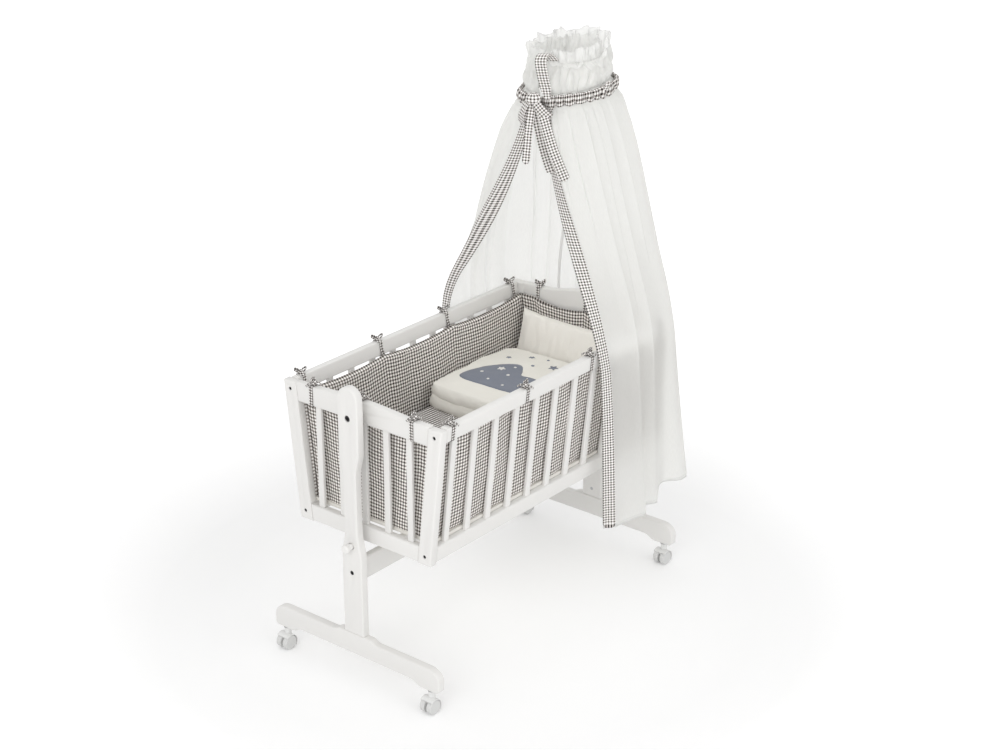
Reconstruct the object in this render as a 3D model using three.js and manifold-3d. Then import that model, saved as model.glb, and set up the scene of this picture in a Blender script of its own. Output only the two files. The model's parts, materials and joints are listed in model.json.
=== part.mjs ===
// A white wooden swinging cradle: a slatted basket with its bedding and canopy hangs on two pivot bolts
// between the posts of a stand on four casters.
// Sizes are in millimetres. The origin is on the floor below the middle of the cradle, +X runs from the
// foot end to the head end, +Y to the left side and +Z up.
import * as THREE from 'three';
import { mergeVertices } from 'three/addons/utils/BufferGeometryUtils.js';
import Module from 'manifold-3d';

const wasm = await Module();
wasm.setup();

// Gaps
const seatGap = 0.3; // between pieces that touch
const softGap = 0.4; // between soft pieces and what they touch
const overrun = 1; // how far a cut runs past the face that it opens

// Cradle frame
const insideLength = 900; // between the end panels
const cradleBottom = 382; // lower ends of the corner posts
const cradleTop = 760; // upper ends of the corner posts
const bottomWidth = 444; // over the corner posts at their lower ends
const topWidth = 528; // over the corner posts at their upper ends
const cornerPostWidth = 42;
const cornerPostThickness = 25;
const cornerRounding = 2.5; // along the edges of posts, rails and beams
const endRailThickness = 22;
const endTopRailHeight = 52; // at its ends, below the crest
const endBottomRailHeight = 45;
const railLift = 2; // bottom rails above the lower ends of the corner posts
const crestLift = 3; // top end rails above the corner posts
const footCrestRise = 8;
const footCrestInset = 22; // from the ends of the rail to the foot of its crest
const headCrestRise = 23;
const headCrestInset = 67;
const sideRailThickness = 22;
const sideTopRailHeight = 40;
const sideBottomRailHeight = 45;
const sideInset = 3; // side rails behind the outer edges of the corner posts
const slatWidth = 19;
const slatThickness = 10;
const slatRounding = 2;
const slatRootDepth = 4; // of the side slats' ends inside the bottom rail
const sideSlatCount = 11;
const sideSlatInset = 42.5; // from the end panel to the middle of the outermost slat
const endSlatCount = 5;
const endSlatInset = 33.3;
const cornerBoltRecess = 10; // diameter of the recesses of the corner bolts
const cornerBoltRecessDepth = 5;
const boardThickness = 9;
const boardRounding = 1;

// Pivots
const pivotDrop = 23; // below the ends of the top end rails' upper edges
const pivotGap = 24.5; // between the stand's posts and the end rails
const pivotBoltDiameter = 8;
const pivotBoltBite = 17; // how far the bolt goes into the end rail
const pivotHeadDiameter = 16;
const pivotHeadLength = 6;
const pivotRecessDiameter = 18;
const pivotRecessDepth = 8;
const spacerDiameter = 22;
const spacerChamfer = 1;
const swingClearance = 0.3; // around the turning bolts

// Stand
const standPostThickness = 24;
const standPostWidth = 66;
const standPostWaist = 43;
const standPostRise = 83; // above the pivots
const waistTopEnd = 650;
const waistTopStart = 590;
const waistBottomStart = 430;
const waistBottomEnd = 355;
const beamLength = 572;
const beamTop = 134.5; // the pad under the post
const beamShoulder = 125.5; // the arms beside the pad
const beamPadWidth = 104;
const beamShoulderWidth = 150;
const beamUnderside = 75; // the arch between the caster pads
const casterHeight = 62; // from the floor to the pads under the beam
const casterPadWidth = 56;
const archRun = 34; // length of the slope from a pad up to the arch
const beamEndRoundLength = 38;
const beamEndRoundHeight = 32;
const beamToeRounding = 8;
const stretcherHeight = 64;
const stretcherThickness = 18;
const stretcherCentre = 312;
const stretcherBoltDiameter = 7;
const stretcherBoltBite = 40;
const boltHeadDiameter = 12;
const boltHeadLength = 5;
const boltHeadChamfer = 0.8;
const boltTipChamfer = 1;
const boltRecessDepth = 6;
const baseBoltDiameter = 6;
const baseBoltReach = 38; // above the lower end of the post
const barrelDiameter = 10;
const barrelLength = 15;
const barrelRise = 25; // barrel nut above the lower end of the post

// Locking peg
const pegHeight = 388;
const pegDiameter = 16.4;
const pegKnobDiameter = 24;
const pegKnobLength = 11;
const pegProud = 27; // how far the peg stands out of the post when the cradle is free
const pegTravel = 14;
const pegStandOff = 2.5; // left between the pushed-in peg and the end rail
const pegRecessDiameter = 20;
const pegRecessDepth = 5;
const pegTipChamfer = 2;
const pegNeckLength = 3; // where the peg widens into the knob

// Casters
const casterInset = 33.5; // from the end of the beam to the stem
const wheelDiameter = 40;
const wheelWidth = 15;
const wheelEdge = 1.5;
const wheelSides = 20;
const hoodWeb = 6.4; // the wall between the twin wheels
const wheelRunningGap = 0.6;
const hoodGap = 1.2; // around the wheels
const hoodWall = 2.5;
const hoodOpenAngle = 52; // degrees above the axle where the hood ends behind
const hoodFrontAngle = 215; // degrees where the hood ends in front
const axleDiameter = 5;
const hoodHubDiameter = 16;
const casterTrail = 8; // from the stem to the axle, towards the foot end
const swivelBossDiameter = 18;
const swivelPinDiameter = 6;
const swivelPinLength = 13;
const stemDiameter = 10;
const stemLength = 28;
const flangeDiameter = 22;
const flangeThickness = 2;

// Bedding. Each piece's sides are drawn in between its rounded corners.
const bumperThickness = 14;
const bumperDrop = 33; // below the corner posts
const bumperPuff = 4; // from each face to where the sides start
const bumperCornerRadius = 12;
const bumperDrawIn = 2;
const mattressHeight = 112;
const mattressEdge = 12; // rounding of its long edges
const mattressCrown = 5;
const mattressCornerRadius = 24;
const mattressDrawIn = 0.5;
const quiltLength = 400;
const quiltThickness = 54;
const quiltCrown = 7;
const quiltCornerRadius = 30;
const quiltDrawIn = 3;
const pillowCornerRadius = 14;
const pillowDrawIn = 5;
const pillowHeight = 160;
const pillowWidth = 384;
const pillowThickness = 36;
const pillowTiltAngle = 19; // degrees from upright
const pillowDip = 2.2; // its lower edge lies below the mattress's crown
const cushionSides = 40;

// Canopy
const hoopRadius = 118;
const hoopX = 404;
const hoopY = 35;
const hoopHeight = 1374;
const hoopSlope = 0.13; // the hoop rises towards the right side of the head end
const hoopSlopeAngle = -51;
const poleDiameter = 8;
const poleY = 118;
const poleFoot = 392;
const poleStraightRise = 17; // the pole is straight to this far above the end rail
const poleJoinAngle = 15; // degrees from +X where the pole meets the hoop
const poleBowX = 4; // how far the pole swings out below the hoop
const poleBowY = -6;
const clampWidth = 30;
const clampWall = 5; // around the pole
const clampHeight = 36;
const clampRounding = 4;
const clothThickness = 2.4;
const clothClearance = 4; // between the cloth and what it hangs around
const hemHeight = 235;
const hemSpread = 9; // the hem hangs further out than the shoulder
const ruffleHeight = 115;
const ruffleFlare = 10;
const bandHeight = 24; // of the gathered casing round the hoop
const bandPuff = 3;
const neckTuck = 4; // the cloth above the casing is drawn in to less than the hoop
const shoulderLift = 35; // where the cloth starts to hang straight, above the corner posts
const shoulderFront = 140;
const hemFront = 196;
const shoulderRounding = 66;
const hemRounding = 62;
const foldCount = 10;
const foldDepthHem = 18;
const foldDepthShoulder = 7;
const foldDepthHoop = 1.6;
const foldDepthRuffle = 6.6;
const frontSag = 0.1;
const openingAngle = 5; // degrees between the cloth's front edge and the middle of the opening

const degree = Math.PI / 180;
const lean = Math.atan2((topWidth - bottomWidth) / 2, cradleTop - cradleBottom);
const endPanelInner = insideLength / 2;
const endPanelOuter = endPanelInner + cornerPostThickness;
const endRailOuter = endPanelOuter - (cornerPostThickness - endRailThickness) / 2;
const standPostInner = endRailOuter + pivotGap;
const standPostOuter = standPostInner + standPostThickness;
const bottomRailBase = cradleBottom + railLift;
const endBottomRailTop = bottomRailBase + endBottomRailHeight;
const endTopRailTop = cradleTop + crestLift;
const endTopRailBase = endTopRailTop - endTopRailHeight;
const pivotHeight = endTopRailTop - pivotDrop;
const standPostTop = pivotHeight + standPostRise;
const sidePanelHeight = (cradleTop - cradleBottom) / Math.cos(lean);

const white = { color: 0xefeeea, roughness: 0.42, metalness: 0 };
const steel = { color: 0x8c8d90, roughness: 0.35, metalness: 1 };
const blackSteel = { color: 0x26262a, roughness: 0.4, metalness: 0.8 };
const plastic = { color: 0xf2f2f0, roughness: 0.35, metalness: 0 };
const greyRubber = { color: 0xd9d9d7, roughness: 0.6, metalness: 0 };
const gingham = { color: 0xc9c4bc, roughness: 0.95, metalness: 0 };
const cream = { color: 0xece7d8, roughness: 0.95, metalness: 0 };
const voile = { color: 0xf4f4f2, roughness: 0.9, metalness: 0 };
const plywood = { color: 0xe6e2d8, roughness: 0.6, metalness: 0 };

const crib = new THREE.Group();

// Adds a piece to a group under its node's name.
function addPiece(name, geometry, finish, group = crib) {
  const mesh = new THREE.Mesh(geometry, new THREE.MeshStandardMaterial(finish));
  mesh.name = name;
  group.add(mesh);
  return mesh;
}

// Turns a closed geometry into a solid that can be joined and cut.
function toSolid(geometry) {
  const bare = geometry.clone();
  bare.deleteAttribute('normal');
  bare.deleteAttribute('uv');
  const merged = mergeVertices(bare, 1e-4);
  return new wasm.Manifold(new wasm.Mesh({
    numProp: 3,
    vertProperties: new Float32Array(merged.attributes.position.array),
    triVerts: new Uint32Array(merged.index.array),
  }));
}

function toGeometry(solid) {
  const { vertProperties, triVerts } = solid.getMesh();
  const geometry = new THREE.BufferGeometry();
  geometry.setAttribute('position', new THREE.BufferAttribute(vertProperties, 3));
  geometry.setIndex(new THREE.BufferAttribute(triVerts, 1));
  return geometry;
}

function cut(geometry, ...tools) {
  return toGeometry(tools.reduce((solid, tool) => solid.subtract(toSolid(tool)), toSolid(geometry)));
}

function join(...geometries) {
  return toGeometry(geometries.map(toSolid).reduce((whole, next) => whole.add(next)));
}

// Extrudes an outline with rounded long edges. The result is centred on the outline's plane.
function board(shape, thickness, rounding = cornerRounding) {
  const geometry = new THREE.ExtrudeGeometry(shape, {
    depth: thickness - 2 * rounding,
    bevelThickness: rounding,
    bevelSize: rounding,
    bevelOffset: -rounding,
    bevelSegments: 1,
  });
  return geometry.translate(0, 0, rounding - thickness / 2);
}

// Extrudes an outline with square ends, centred on the outline's plane.
function prism(shape, length) {
  const geometry = new THREE.ExtrudeGeometry(shape, { depth: length, bevelEnabled: false });
  return geometry.translate(0, 0, -length / 2);
}

// Puts an outline drawn as (across, up) into the YZ plane, with its thickness along X.
function facingX(geometry) {
  const [x, y, z] = [new THREE.Vector3(1, 0, 0), new THREE.Vector3(0, 1, 0), new THREE.Vector3(0, 0, 1)];
  return geometry.applyMatrix4(new THREE.Matrix4().makeBasis(y, z, x));
}

function outline(points) {
  return new THREE.Shape(points.map(([across, up]) => new THREE.Vector2(across, up)));
}

function rectangle(width, height) {
  const [a, b] = [width / 2, height / 2];
  return outline([[-a, -b], [a, -b], [a, b], [-a, b]]);
}

function roundedRectangle(width, height, radius, segments = 2) {
  const [a, b] = [width / 2 - radius, height / 2 - radius];
  const corners = [[a, -b, -90], [a, b, 0], [-a, b, 90], [-a, -b, 180]];
  return outline(corners.flatMap(([x, y, start]) => Array.from({ length: segments + 1 }, (_, i) => {
    const angle = (start + (90 * i) / segments) * degree;
    return [x + radius * Math.cos(angle), y + radius * Math.sin(angle)];
  })));
}

// A turned solid along X from a list of [x, radius], which starts and ends on the axis.
function turnedAlongX(profile, sides = 16) {
  const points = profile.map(([x, radius]) => new THREE.Vector2(radius, x));
  return new THREE.LatheGeometry(points, sides).rotateZ(-Math.PI / 2);
}

function turnedAlongZ(profile, sides = 16) {
  const points = profile.map(([z, radius]) => new THREE.Vector2(radius, z));
  return new THREE.LatheGeometry(points, sides).rotateX(Math.PI / 2);
}

// A cylinder along X, used as a pin or to cut a hole.
function rod(fromX, toX, diameter, y = 0, z = 0, sides = 16) {
  const [low, high] = [Math.min(fromX, toX), Math.max(fromX, toX)];
  const profile = [[low, 0], [low, diameter / 2], [high, diameter / 2], [high, 0]];
  return turnedAlongX(profile, sides).translate(0, y, z);
}

function uprightRod(fromZ, toZ, diameter, x = 0, y = 0, sides = 16) {
  const profile = [[fromZ, 0], [fromZ, diameter / 2], [toZ, diameter / 2], [toZ, 0]];
  return turnedAlongZ(profile, sides).translate(x, y, 0);
}

// Points of an S-shaped edge from one [across, up] to another, upright at both ends.
function easedEdge([fromAcross, fromUp], [toAcross, toUp], steps = 6) {
  return Array.from({ length: steps + 1 }, (_, i) => {
    const share = i / steps;
    const eased = share * share * (3 - 2 * share);
    return [fromAcross + (toAcross - fromAcross) * eased, fromUp + (toUp - fromUp) * share];
  });
}

// The mirrored other half of an outline whose points run up its right side.
function mirrored(points) {
  return [...points, ...points.filter(([across]) => across > 0).reverse().map(([across, up]) => [-across, up])];
}

// Half the width over the corner posts at a height.
function outerHalfWidth(z) {
  return bottomWidth / 2 + (z - cradleBottom) * Math.tan(lean);
}

function endRailHalfWidth(z) {
  return outerHalfWidth(z) - cornerPostWidth - seatGap;
}

const ends = [{ name: 'foot_end', sign: -1 }, { name: 'head_end', sign: 1 }];
const sides = [{ name: 'left', sign: 1 }, { name: 'right', sign: -1 }];

// Corner posts, with a recess for the head of each bolt that goes on into the side rails.
const cornerBoltHeights = [
  bottomRailBase + sideBottomRailHeight / 2,
  cradleTop - sideTopRailHeight / 2,
];

function cornerPost(endSign, sideSign) {
  const corners = [cradleBottom, cradleTop].map((z) => [outerHalfWidth(z), z]);
  const inner = [cradleTop, cradleBottom].map((z) => [outerHalfWidth(z) - cornerPostWidth, z]);
  const shape = outline([...corners, ...inner].map(([y, z]) => [sideSign * y, z]));
  const middle = endSign * (endPanelInner + cornerPostThickness / 2);
  const post = facingX(board(shape, cornerPostThickness)).translate(middle, 0, 0);
  const recesses = cornerBoltHeights.map((z) => rod(
    endSign * (endPanelOuter - cornerBoltRecessDepth),
    endSign * (endPanelOuter + overrun),
    cornerBoltRecess,
    sideSign * (outerHalfWidth(z) - cornerPostWidth / 2),
    z,
    12,
  ));
  return cut(post, ...recesses);
}

for (const end of ends) {
  for (const side of sides) {
    addPiece(`${end.name}_${side.name}_corner_post`, cornerPost(end.sign, side.sign), white);
  }
}

// End rails and slats. The top rail has a crest and the bore of the pivot bolt.
const endRailMiddle = endRailOuter - endRailThickness / 2;

function crestedRail(rise, inset) {
  const crestSteps = 14;
  const span = 2 * (endRailHalfWidth(endTopRailTop) - inset);
  const crest = Array.from({ length: crestSteps + 1 }, (_, i) => {
    const y = span * (0.5 - i / crestSteps);
    return [y, endTopRailTop + rise * Math.cos((Math.PI * y) / span) ** 2];
  });
  return outline([
    [-endRailHalfWidth(endTopRailBase), endTopRailBase],
    [endRailHalfWidth(endTopRailBase), endTopRailBase],
    [endRailHalfWidth(endTopRailTop), endTopRailTop],
    ...crest,
    [-endRailHalfWidth(endTopRailTop), endTopRailTop],
  ]);
}

// The place of one of a row of slats that ends a reach to each side of the middle.
function slatPlace(number, count, reach) {
  return reach * ((2 * number) / (count - 1) - 1);
}

function pivotBore(sign) {
  const bottom = endRailOuter - pivotBoltBite - seatGap;
  const diameter = pivotBoltDiameter + 2 * swingClearance;
  return rod(sign * bottom, sign * (endRailOuter + overrun), diameter, 0, pivotHeight);
}

for (const { name, sign } of ends) {
  const [rise, inset] = sign < 0 ? [footCrestRise, footCrestInset] : [headCrestRise, headCrestInset];
  const topRail = facingX(board(crestedRail(rise, inset), endRailThickness));
  topRail.translate(sign * endRailMiddle, 0, 0);
  addPiece(`${name}_top_rail`, cut(topRail, pivotBore(sign)), white);

  const bottomShape = outline([
    [-endRailHalfWidth(bottomRailBase), bottomRailBase],
    [endRailHalfWidth(bottomRailBase), bottomRailBase],
    [endRailHalfWidth(endBottomRailTop), endBottomRailTop],
    [-endRailHalfWidth(endBottomRailTop), endBottomRailTop],
  ]);
  const bottomRail = facingX(board(bottomShape, endRailThickness));
  addPiece(`${name}_bottom_rail`, bottomRail.translate(sign * endRailMiddle, 0, 0), white);

  const slatLength = endTopRailBase - endBottomRailTop - 2 * seatGap;
  for (let i = 0; i < endSlatCount; i += 1) {
    const slat = prism(roundedRectangle(slatThickness, slatWidth, slatRounding), slatLength);
    const y = slatPlace(i, endSlatCount, endRailHalfWidth(endBottomRailTop) - endSlatInset);
    slat.translate(sign * endRailMiddle, y, (endTopRailBase + endBottomRailTop) / 2);
    addPiece(`${name}_slat_${i + 1}`, slat, white);
  }
}

// Side panels lean out by the same angle as the corner posts. In a panel's own group the outer edges of
// the posts lie on Y = 0 and Z runs up the slope.
const sideRailLength = insideLength - 2 * seatGap;
const sideRailMiddle = sideInset + sideRailThickness / 2;
const sideBottomRailTop = railLift + sideBottomRailHeight;
const sideTopRailBase = sidePanelHeight - sideTopRailHeight;

function sideRail(height) {
  const bar = board(rectangle(sideRailLength, height), sideRailThickness);
  return bar.rotateX(Math.PI / 2);
}

function slattedRail() {
  const slatTop = sideTopRailBase - seatGap;
  const slatBottom = sideBottomRailTop - slatRootDepth;
  const rail = sideRail(sideBottomRailHeight).translate(0, 0, railLift + sideBottomRailHeight / 2);
  const slats = Array.from({ length: sideSlatCount }, (_, i) => {
    const x = slatPlace(i, sideSlatCount, insideLength / 2 - sideSlatInset);
    const slat = prism(roundedRectangle(slatWidth, slatThickness, slatRounding), slatTop - slatBottom);
    return slat.translate(x, 0, (slatTop + slatBottom) / 2);
  });
  return join(rail, ...slats);
}

function sideGroup(sign) {
  const group = new THREE.Group();
  group.position.set(0, (sign * bottomWidth) / 2, cradleBottom);
  group.rotation.x = -sign * lean;
  crib.add(group);
  return group;
}

for (const { name, sign } of sides) {
  const panel = sideGroup(sign);
  const topRail = sideRail(sideTopRailHeight);
  topRail.translate(0, -sign * sideRailMiddle, sidePanelHeight - sideTopRailHeight / 2);
  addPiece(`${name}_top_rail`, topRail, white, panel);
  addPiece(`${name}_slatted_rail`, slattedRail().translate(0, -sign * sideRailMiddle, 0), white, panel);
}

// The base board rests on the ledges of the side rails inside the slats.
function sideLocalToWorld(inward, up) {
  const y = bottomWidth / 2 + up * Math.sin(lean) - inward * Math.cos(lean);
  const z = cradleBottom + up * Math.cos(lean) + inward * Math.sin(lean);
  return [y, z];
}

const ledgeInner = sideLocalToWorld(sideInset + sideRailThickness, sideBottomRailTop);
const slatInner = sideLocalToWorld(sideRailMiddle + slatThickness / 2, sideBottomRailTop);
const boardBase = ledgeInner[1] + seatGap;
const boardTop = boardBase + boardThickness;
const boardShape = roundedRectangle(insideLength - 2 * seatGap, 2 * (slatInner[0] - seatGap), boardRounding);
const baseBoard = prism(boardShape, boardThickness).translate(0, 0, boardBase + boardThickness / 2);
addPiece('base_board', baseBoard, plywood);

// Stand posts: wide, drawn in to a waist beside the cradle, wide again and round at the top.
const standPostBase = beamTop + seatGap;
const standPostFace = (standPostInner + standPostOuter) / 2;

function standPostShape() {
  const [wide, narrow] = [standPostWidth / 2, standPostWaist / 2];
  const topArc = Array.from({ length: 7 }, (_, i) => {
    const angle = (i / 6) * (Math.PI / 2);
    return [wide * Math.cos(angle), standPostTop - wide + wide * Math.sin(angle)];
  });
  topArc[topArc.length - 1][0] = 0;
  return outline(mirrored([
    [wide, standPostBase],
    ...easedEdge([wide, waistBottomEnd], [narrow, waistBottomStart]),
    ...easedEdge([narrow, waistTopStart], [wide, waistTopEnd]),
    ...topArc,
  ]));
}

// The bolt that holds a post on its beam, with its barrel nut. With a growth it is the hole for them.
function baseBolt(sign, growth = 0) {
  const x = sign * standPostFace;
  const headBase = beamUnderside + boltRecessDepth - boltHeadLength;
  const headTop = headBase + boltHeadLength + growth;
  const mouth = growth ? beamUnderside - overrun : headBase;
  const head = uprightRod(mouth, headTop, boltHeadDiameter + 2 * growth, x);
  const shankTop = standPostBase + baseBoltReach + growth;
  const shank = uprightRod(headTop - overrun, shankTop, baseBoltDiameter + 2 * growth, x, 0, 12);
  const barrelInner = growth ? standPostInner - overrun : standPostInner + seatGap;
  const barrelOuter = standPostInner + barrelLength + growth;
  const barrelWidth = barrelDiameter + 2 * growth;
  const barrel = rod(sign * barrelInner, sign * barrelOuter, barrelWidth, 0, standPostBase + barrelRise);
  return join(head, shank, barrel);
}

function outerBoltHoles(sign, z, boltDiameter, headDiameter, recessDepth) {
  return [
    rod(sign * (standPostInner - overrun), sign * (standPostOuter + overrun), boltDiameter, 0, z),
    rod(sign * (standPostOuter - recessDepth), sign * (standPostOuter + overrun), headDiameter, 0, z),
  ];
}

function standPost(sign) {
  const post = facingX(board(standPostShape(), standPostThickness)).translate(sign * standPostFace, 0, 0);
  const pivotHole = pivotBoltDiameter + 2 * swingClearance;
  const holes = [
    baseBolt(sign, seatGap),
    ...outerBoltHoles(sign, pivotHeight, pivotHole, pivotRecessDiameter, pivotRecessDepth),
    ...outerBoltHoles(
      sign,
      stretcherCentre,
      stretcherBoltDiameter + 2 * seatGap,
      boltHeadDiameter + 2 * seatGap,
      boltRecessDepth,
    ),
  ];
  if (sign < 0) {
    const pegHole = pegDiameter + 2 * seatGap;
    holes.push(...outerBoltHoles(sign, pegHeight, pegHole, pegRecessDiameter, pegRecessDepth));
  }
  return cut(post, ...holes);
}

// The beams under the posts: a pad for the post, arms with rounded ends and an arch between two caster pads.
const stemY = beamLength / 2 - casterInset;

function beamShape() {
  const half = beamLength / 2;
  const padInner = stemY - casterPadWidth / 2;
  const roundBase = beamShoulder - beamEndRoundHeight;
  const endRound = Array.from({ length: 7 }, (_, i) => {
    const angle = (i / 6) * (Math.PI / 2);
    const y = half - beamEndRoundLength * (1 - Math.cos(angle));
    return [y, roundBase + beamEndRoundHeight * Math.sin(angle)];
  });
  const pad = [[beamPadWidth / 2, beamTop], [beamShoulderWidth / 2, beamShoulder]];
  const shoulder = Array.from({ length: 5 }, (_, i) => {
    const share = i / 4;
    const eased = share * share * (3 - 2 * share);
    return [pad[1][0] + (pad[0][0] - pad[1][0]) * share, pad[1][1] + (pad[0][1] - pad[1][1]) * eased];
  });
  const arch = Array.from({ length: 5 }, (_, i) => {
    const share = i / 4;
    const eased = share * share * (3 - 2 * share);
    const y = padInner - archRun * (1 - share);
    return [y, beamUnderside + (casterHeight - beamUnderside) * eased];
  });
  return outline(mirrored([
    ...arch,
    [half - beamToeRounding, casterHeight],
    [half, casterHeight + beamToeRounding],
    ...endRound,
    ...shoulder,
  ]));
}

function beam(sign) {
  const bar = facingX(board(beamShape(), standPostThickness)).translate(sign * standPostFace, 0, 0);
  const stemHoles = [-1, 1].map((side) => uprightRod(
    casterHeight - overrun,
    casterHeight + stemLength + seatGap,
    stemDiameter + 2 * seatGap,
    sign * standPostFace,
    side * stemY,
  ));
  return cut(bar, baseBolt(sign, seatGap), ...stemHoles);
}

for (const { name, sign } of ends) {
  addPiece(`${name}_stand_post`, standPost(sign), white);
  addPiece(`${name}_beam`, beam(sign), white);
  addPiece(`${name}_base_bolt`, baseBolt(sign), steel);
}

// The stretcher between the posts, with its bolts.
const stretcherHalf = standPostInner - seatGap;
const stretcher = board(rectangle(2 * stretcherHalf, stretcherHeight), stretcherThickness).rotateX(Math.PI / 2);
stretcher.translate(0, 0, stretcherCentre);
const stretcherBores = ends.map(({ sign }) => rod(
  sign * (stretcherHalf - stretcherBoltBite),
  sign * (stretcherHalf + overrun),
  stretcherBoltDiameter + 2 * seatGap,
  0,
  stretcherCentre,
));
addPiece('stretcher', cut(stretcher, ...stretcherBores), white);

// A bolt along X whose head lies in a recess of a stand post.
function recessedBolt(sign, z, tipX, diameter, headDiameter, headLength, recessDepth) {
  const headBase = standPostOuter - recessDepth + seatGap;
  const socketDepth = headLength / 2;
  const profile = [
    [tipX, 0],
    [tipX, diameter / 2 - boltTipChamfer],
    [tipX + boltTipChamfer, diameter / 2],
    [headBase, diameter / 2],
    [headBase, headDiameter / 2],
    [headBase + headLength - boltHeadChamfer, headDiameter / 2],
    [headBase + headLength, headDiameter / 2 - boltHeadChamfer],
    [headBase + headLength, headDiameter / 4],
    [headBase + headLength - socketDepth, headDiameter / 4],
    [headBase + headLength - socketDepth, 0],
  ];
  const bolt = turnedAlongX(profile, 12);
  if (sign < 0) bolt.rotateZ(Math.PI);
  return bolt.translate(0, 0, z);
}

for (const { name, sign } of ends) {
  const pivotTip = endRailOuter - pivotBoltBite;
  const pivot = recessedBolt(
    sign,
    pivotHeight,
    pivotTip,
    pivotBoltDiameter,
    pivotHeadDiameter,
    pivotHeadLength,
    pivotRecessDepth,
  );
  addPiece(`${name}_pivot_bolt`, pivot, steel);
  const stretcherTip = stretcherHalf - stretcherBoltBite + seatGap;
  const bolt = recessedBolt(
    sign,
    stretcherCentre,
    stretcherTip,
    stretcherBoltDiameter,
    boltHeadDiameter,
    boltHeadLength,
    boltRecessDepth,
  );
  addPiece(`${name}_stretcher_bolt`, bolt, blackSteel);

  const [spacerInner, spacerOuter] = [endRailOuter + seatGap, standPostInner - seatGap];
  const bore = pivotBoltDiameter / 2 + swingClearance;
  const spacer = turnedAlongX([
    [spacerInner, bore],
    [spacerInner, spacerDiameter / 2 - spacerChamfer],
    [spacerInner + spacerChamfer, spacerDiameter / 2],
    [spacerOuter - spacerChamfer, spacerDiameter / 2],
    [spacerOuter, spacerDiameter / 2 - spacerChamfer],
    [spacerOuter, bore],
    [spacerInner, bore],
  ]);
  if (sign < 0) spacer.rotateZ(Math.PI);
  addPiece(`${name}_pivot_spacer`, spacer.translate(0, 0, pivotHeight), plastic);
}

// The locking peg goes through the foot end post. Pushed in, its tip stops just short of the end rail.
function lockingPeg() {
  const outer = standPostOuter + pegProud;
  const tip = endRailOuter + pegStandOff + pegTravel;
  const knobBase = outer - pegKnobLength;
  const [peg, knob] = [pegDiameter / 2, pegKnobDiameter / 2];
  const profile = [
    [tip, 0],
    [tip, peg - pegTipChamfer],
    [tip + pegTipChamfer, peg],
    [knobBase - pegNeckLength, peg],
    [knobBase, knob * 0.75],
    [knobBase + pegKnobLength * 0.18, knob],
    [outer - pegKnobLength * 0.36, knob],
    [outer - pegKnobLength * 0.11, knob * 0.8],
    [outer, knob * 0.5],
    [outer, 0],
  ];
  return turnedAlongX(profile, 20).rotateZ(Math.PI).translate(0, 0, pegHeight);
}
addPiece('locking_peg', lockingPeg(), plastic);

// Casters: a stem pressed into the beam, a hood that swivels on it and a pair of wheels on one axle.
const wheelFlat = (wheelDiameter / 2) * Math.cos(Math.PI / wheelSides); // the wheels stand on a flat
const wheelInner = hoodWeb / 2 + wheelRunningGap;
const wheelOuter = wheelInner + wheelWidth;
const hoodRadius = wheelDiameter / 2 + hoodGap + hoodWall;
const hoodTop = casterHeight - seatGap - flangeThickness - seatGap;
const hoodHalfWidth = wheelOuter + wheelRunningGap;

function casterStem() {
  const flangeTop = casterHeight - seatGap;
  const flangeBase = flangeTop - flangeThickness;
  return turnedAlongZ([
    [flangeBase - swivelPinLength, 0],
    [flangeBase - swivelPinLength, swivelPinDiameter / 2],
    [flangeBase, swivelPinDiameter / 2],
    [flangeBase, flangeDiameter / 2],
    [flangeTop, flangeDiameter / 2],
    [flangeTop, stemDiameter / 2],
    [flangeTop + stemLength - boltTipChamfer, stemDiameter / 2],
    [flangeTop + stemLength, stemDiameter / 2 - boltTipChamfer],
    [flangeTop + stemLength, 0],
  ], 12);
}

// The hood is drawn in the XZ plane about the axle, which lies behind the stem by the trail.
function casterHood() {
  const arcSteps = 12;
  const arc = Array.from({ length: arcSteps + 1 }, (_, i) => {
    const angle = (hoodOpenAngle + ((hoodFrontAngle - hoodOpenAngle) * i) / arcSteps) * degree;
    return [hoodRadius * Math.cos(angle), hoodRadius * Math.sin(angle)];
  });
  const body = prism(outline([...arc, [0, -hoodWall]]), 2 * hoodHalfWidth).rotateX(Math.PI / 2);
  body.translate(casterTrail, 0, wheelFlat);
  const hub = rod(-hoodWeb / 2, hoodWeb / 2, hoodHubDiameter).rotateZ(Math.PI / 2);
  hub.translate(casterTrail, 0, wheelFlat);
  const boss = uprightRod(wheelFlat + wheelDiameter / 4, hoodTop, swivelBossDiameter);
  const housings = [-1, 1].map((side) => {
    const [near, far] = [side * hoodWeb / 2, side * (hoodHalfWidth + overrun)];
    const housing = rod(near, far, wheelDiameter + 2 * hoodGap, 0, 0, 24).rotateZ(Math.PI / 2);
    return housing.translate(casterTrail, 0, wheelFlat);
  });
  const pinBoreDiameter = swivelPinDiameter + 2 * swingClearance;
  const pinBore = uprightRod(hoodTop - swivelPinLength, hoodTop + overrun, pinBoreDiameter, 0, 0, 12);
  const axleBore = rod(-hoodWeb, hoodWeb, axleDiameter + 2 * swingClearance, 0, 0, 12);
  axleBore.rotateZ(Math.PI / 2).translate(casterTrail, 0, wheelFlat);
  return cut(join(body, hub, boss), ...housings, pinBore, axleBore);
}

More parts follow.
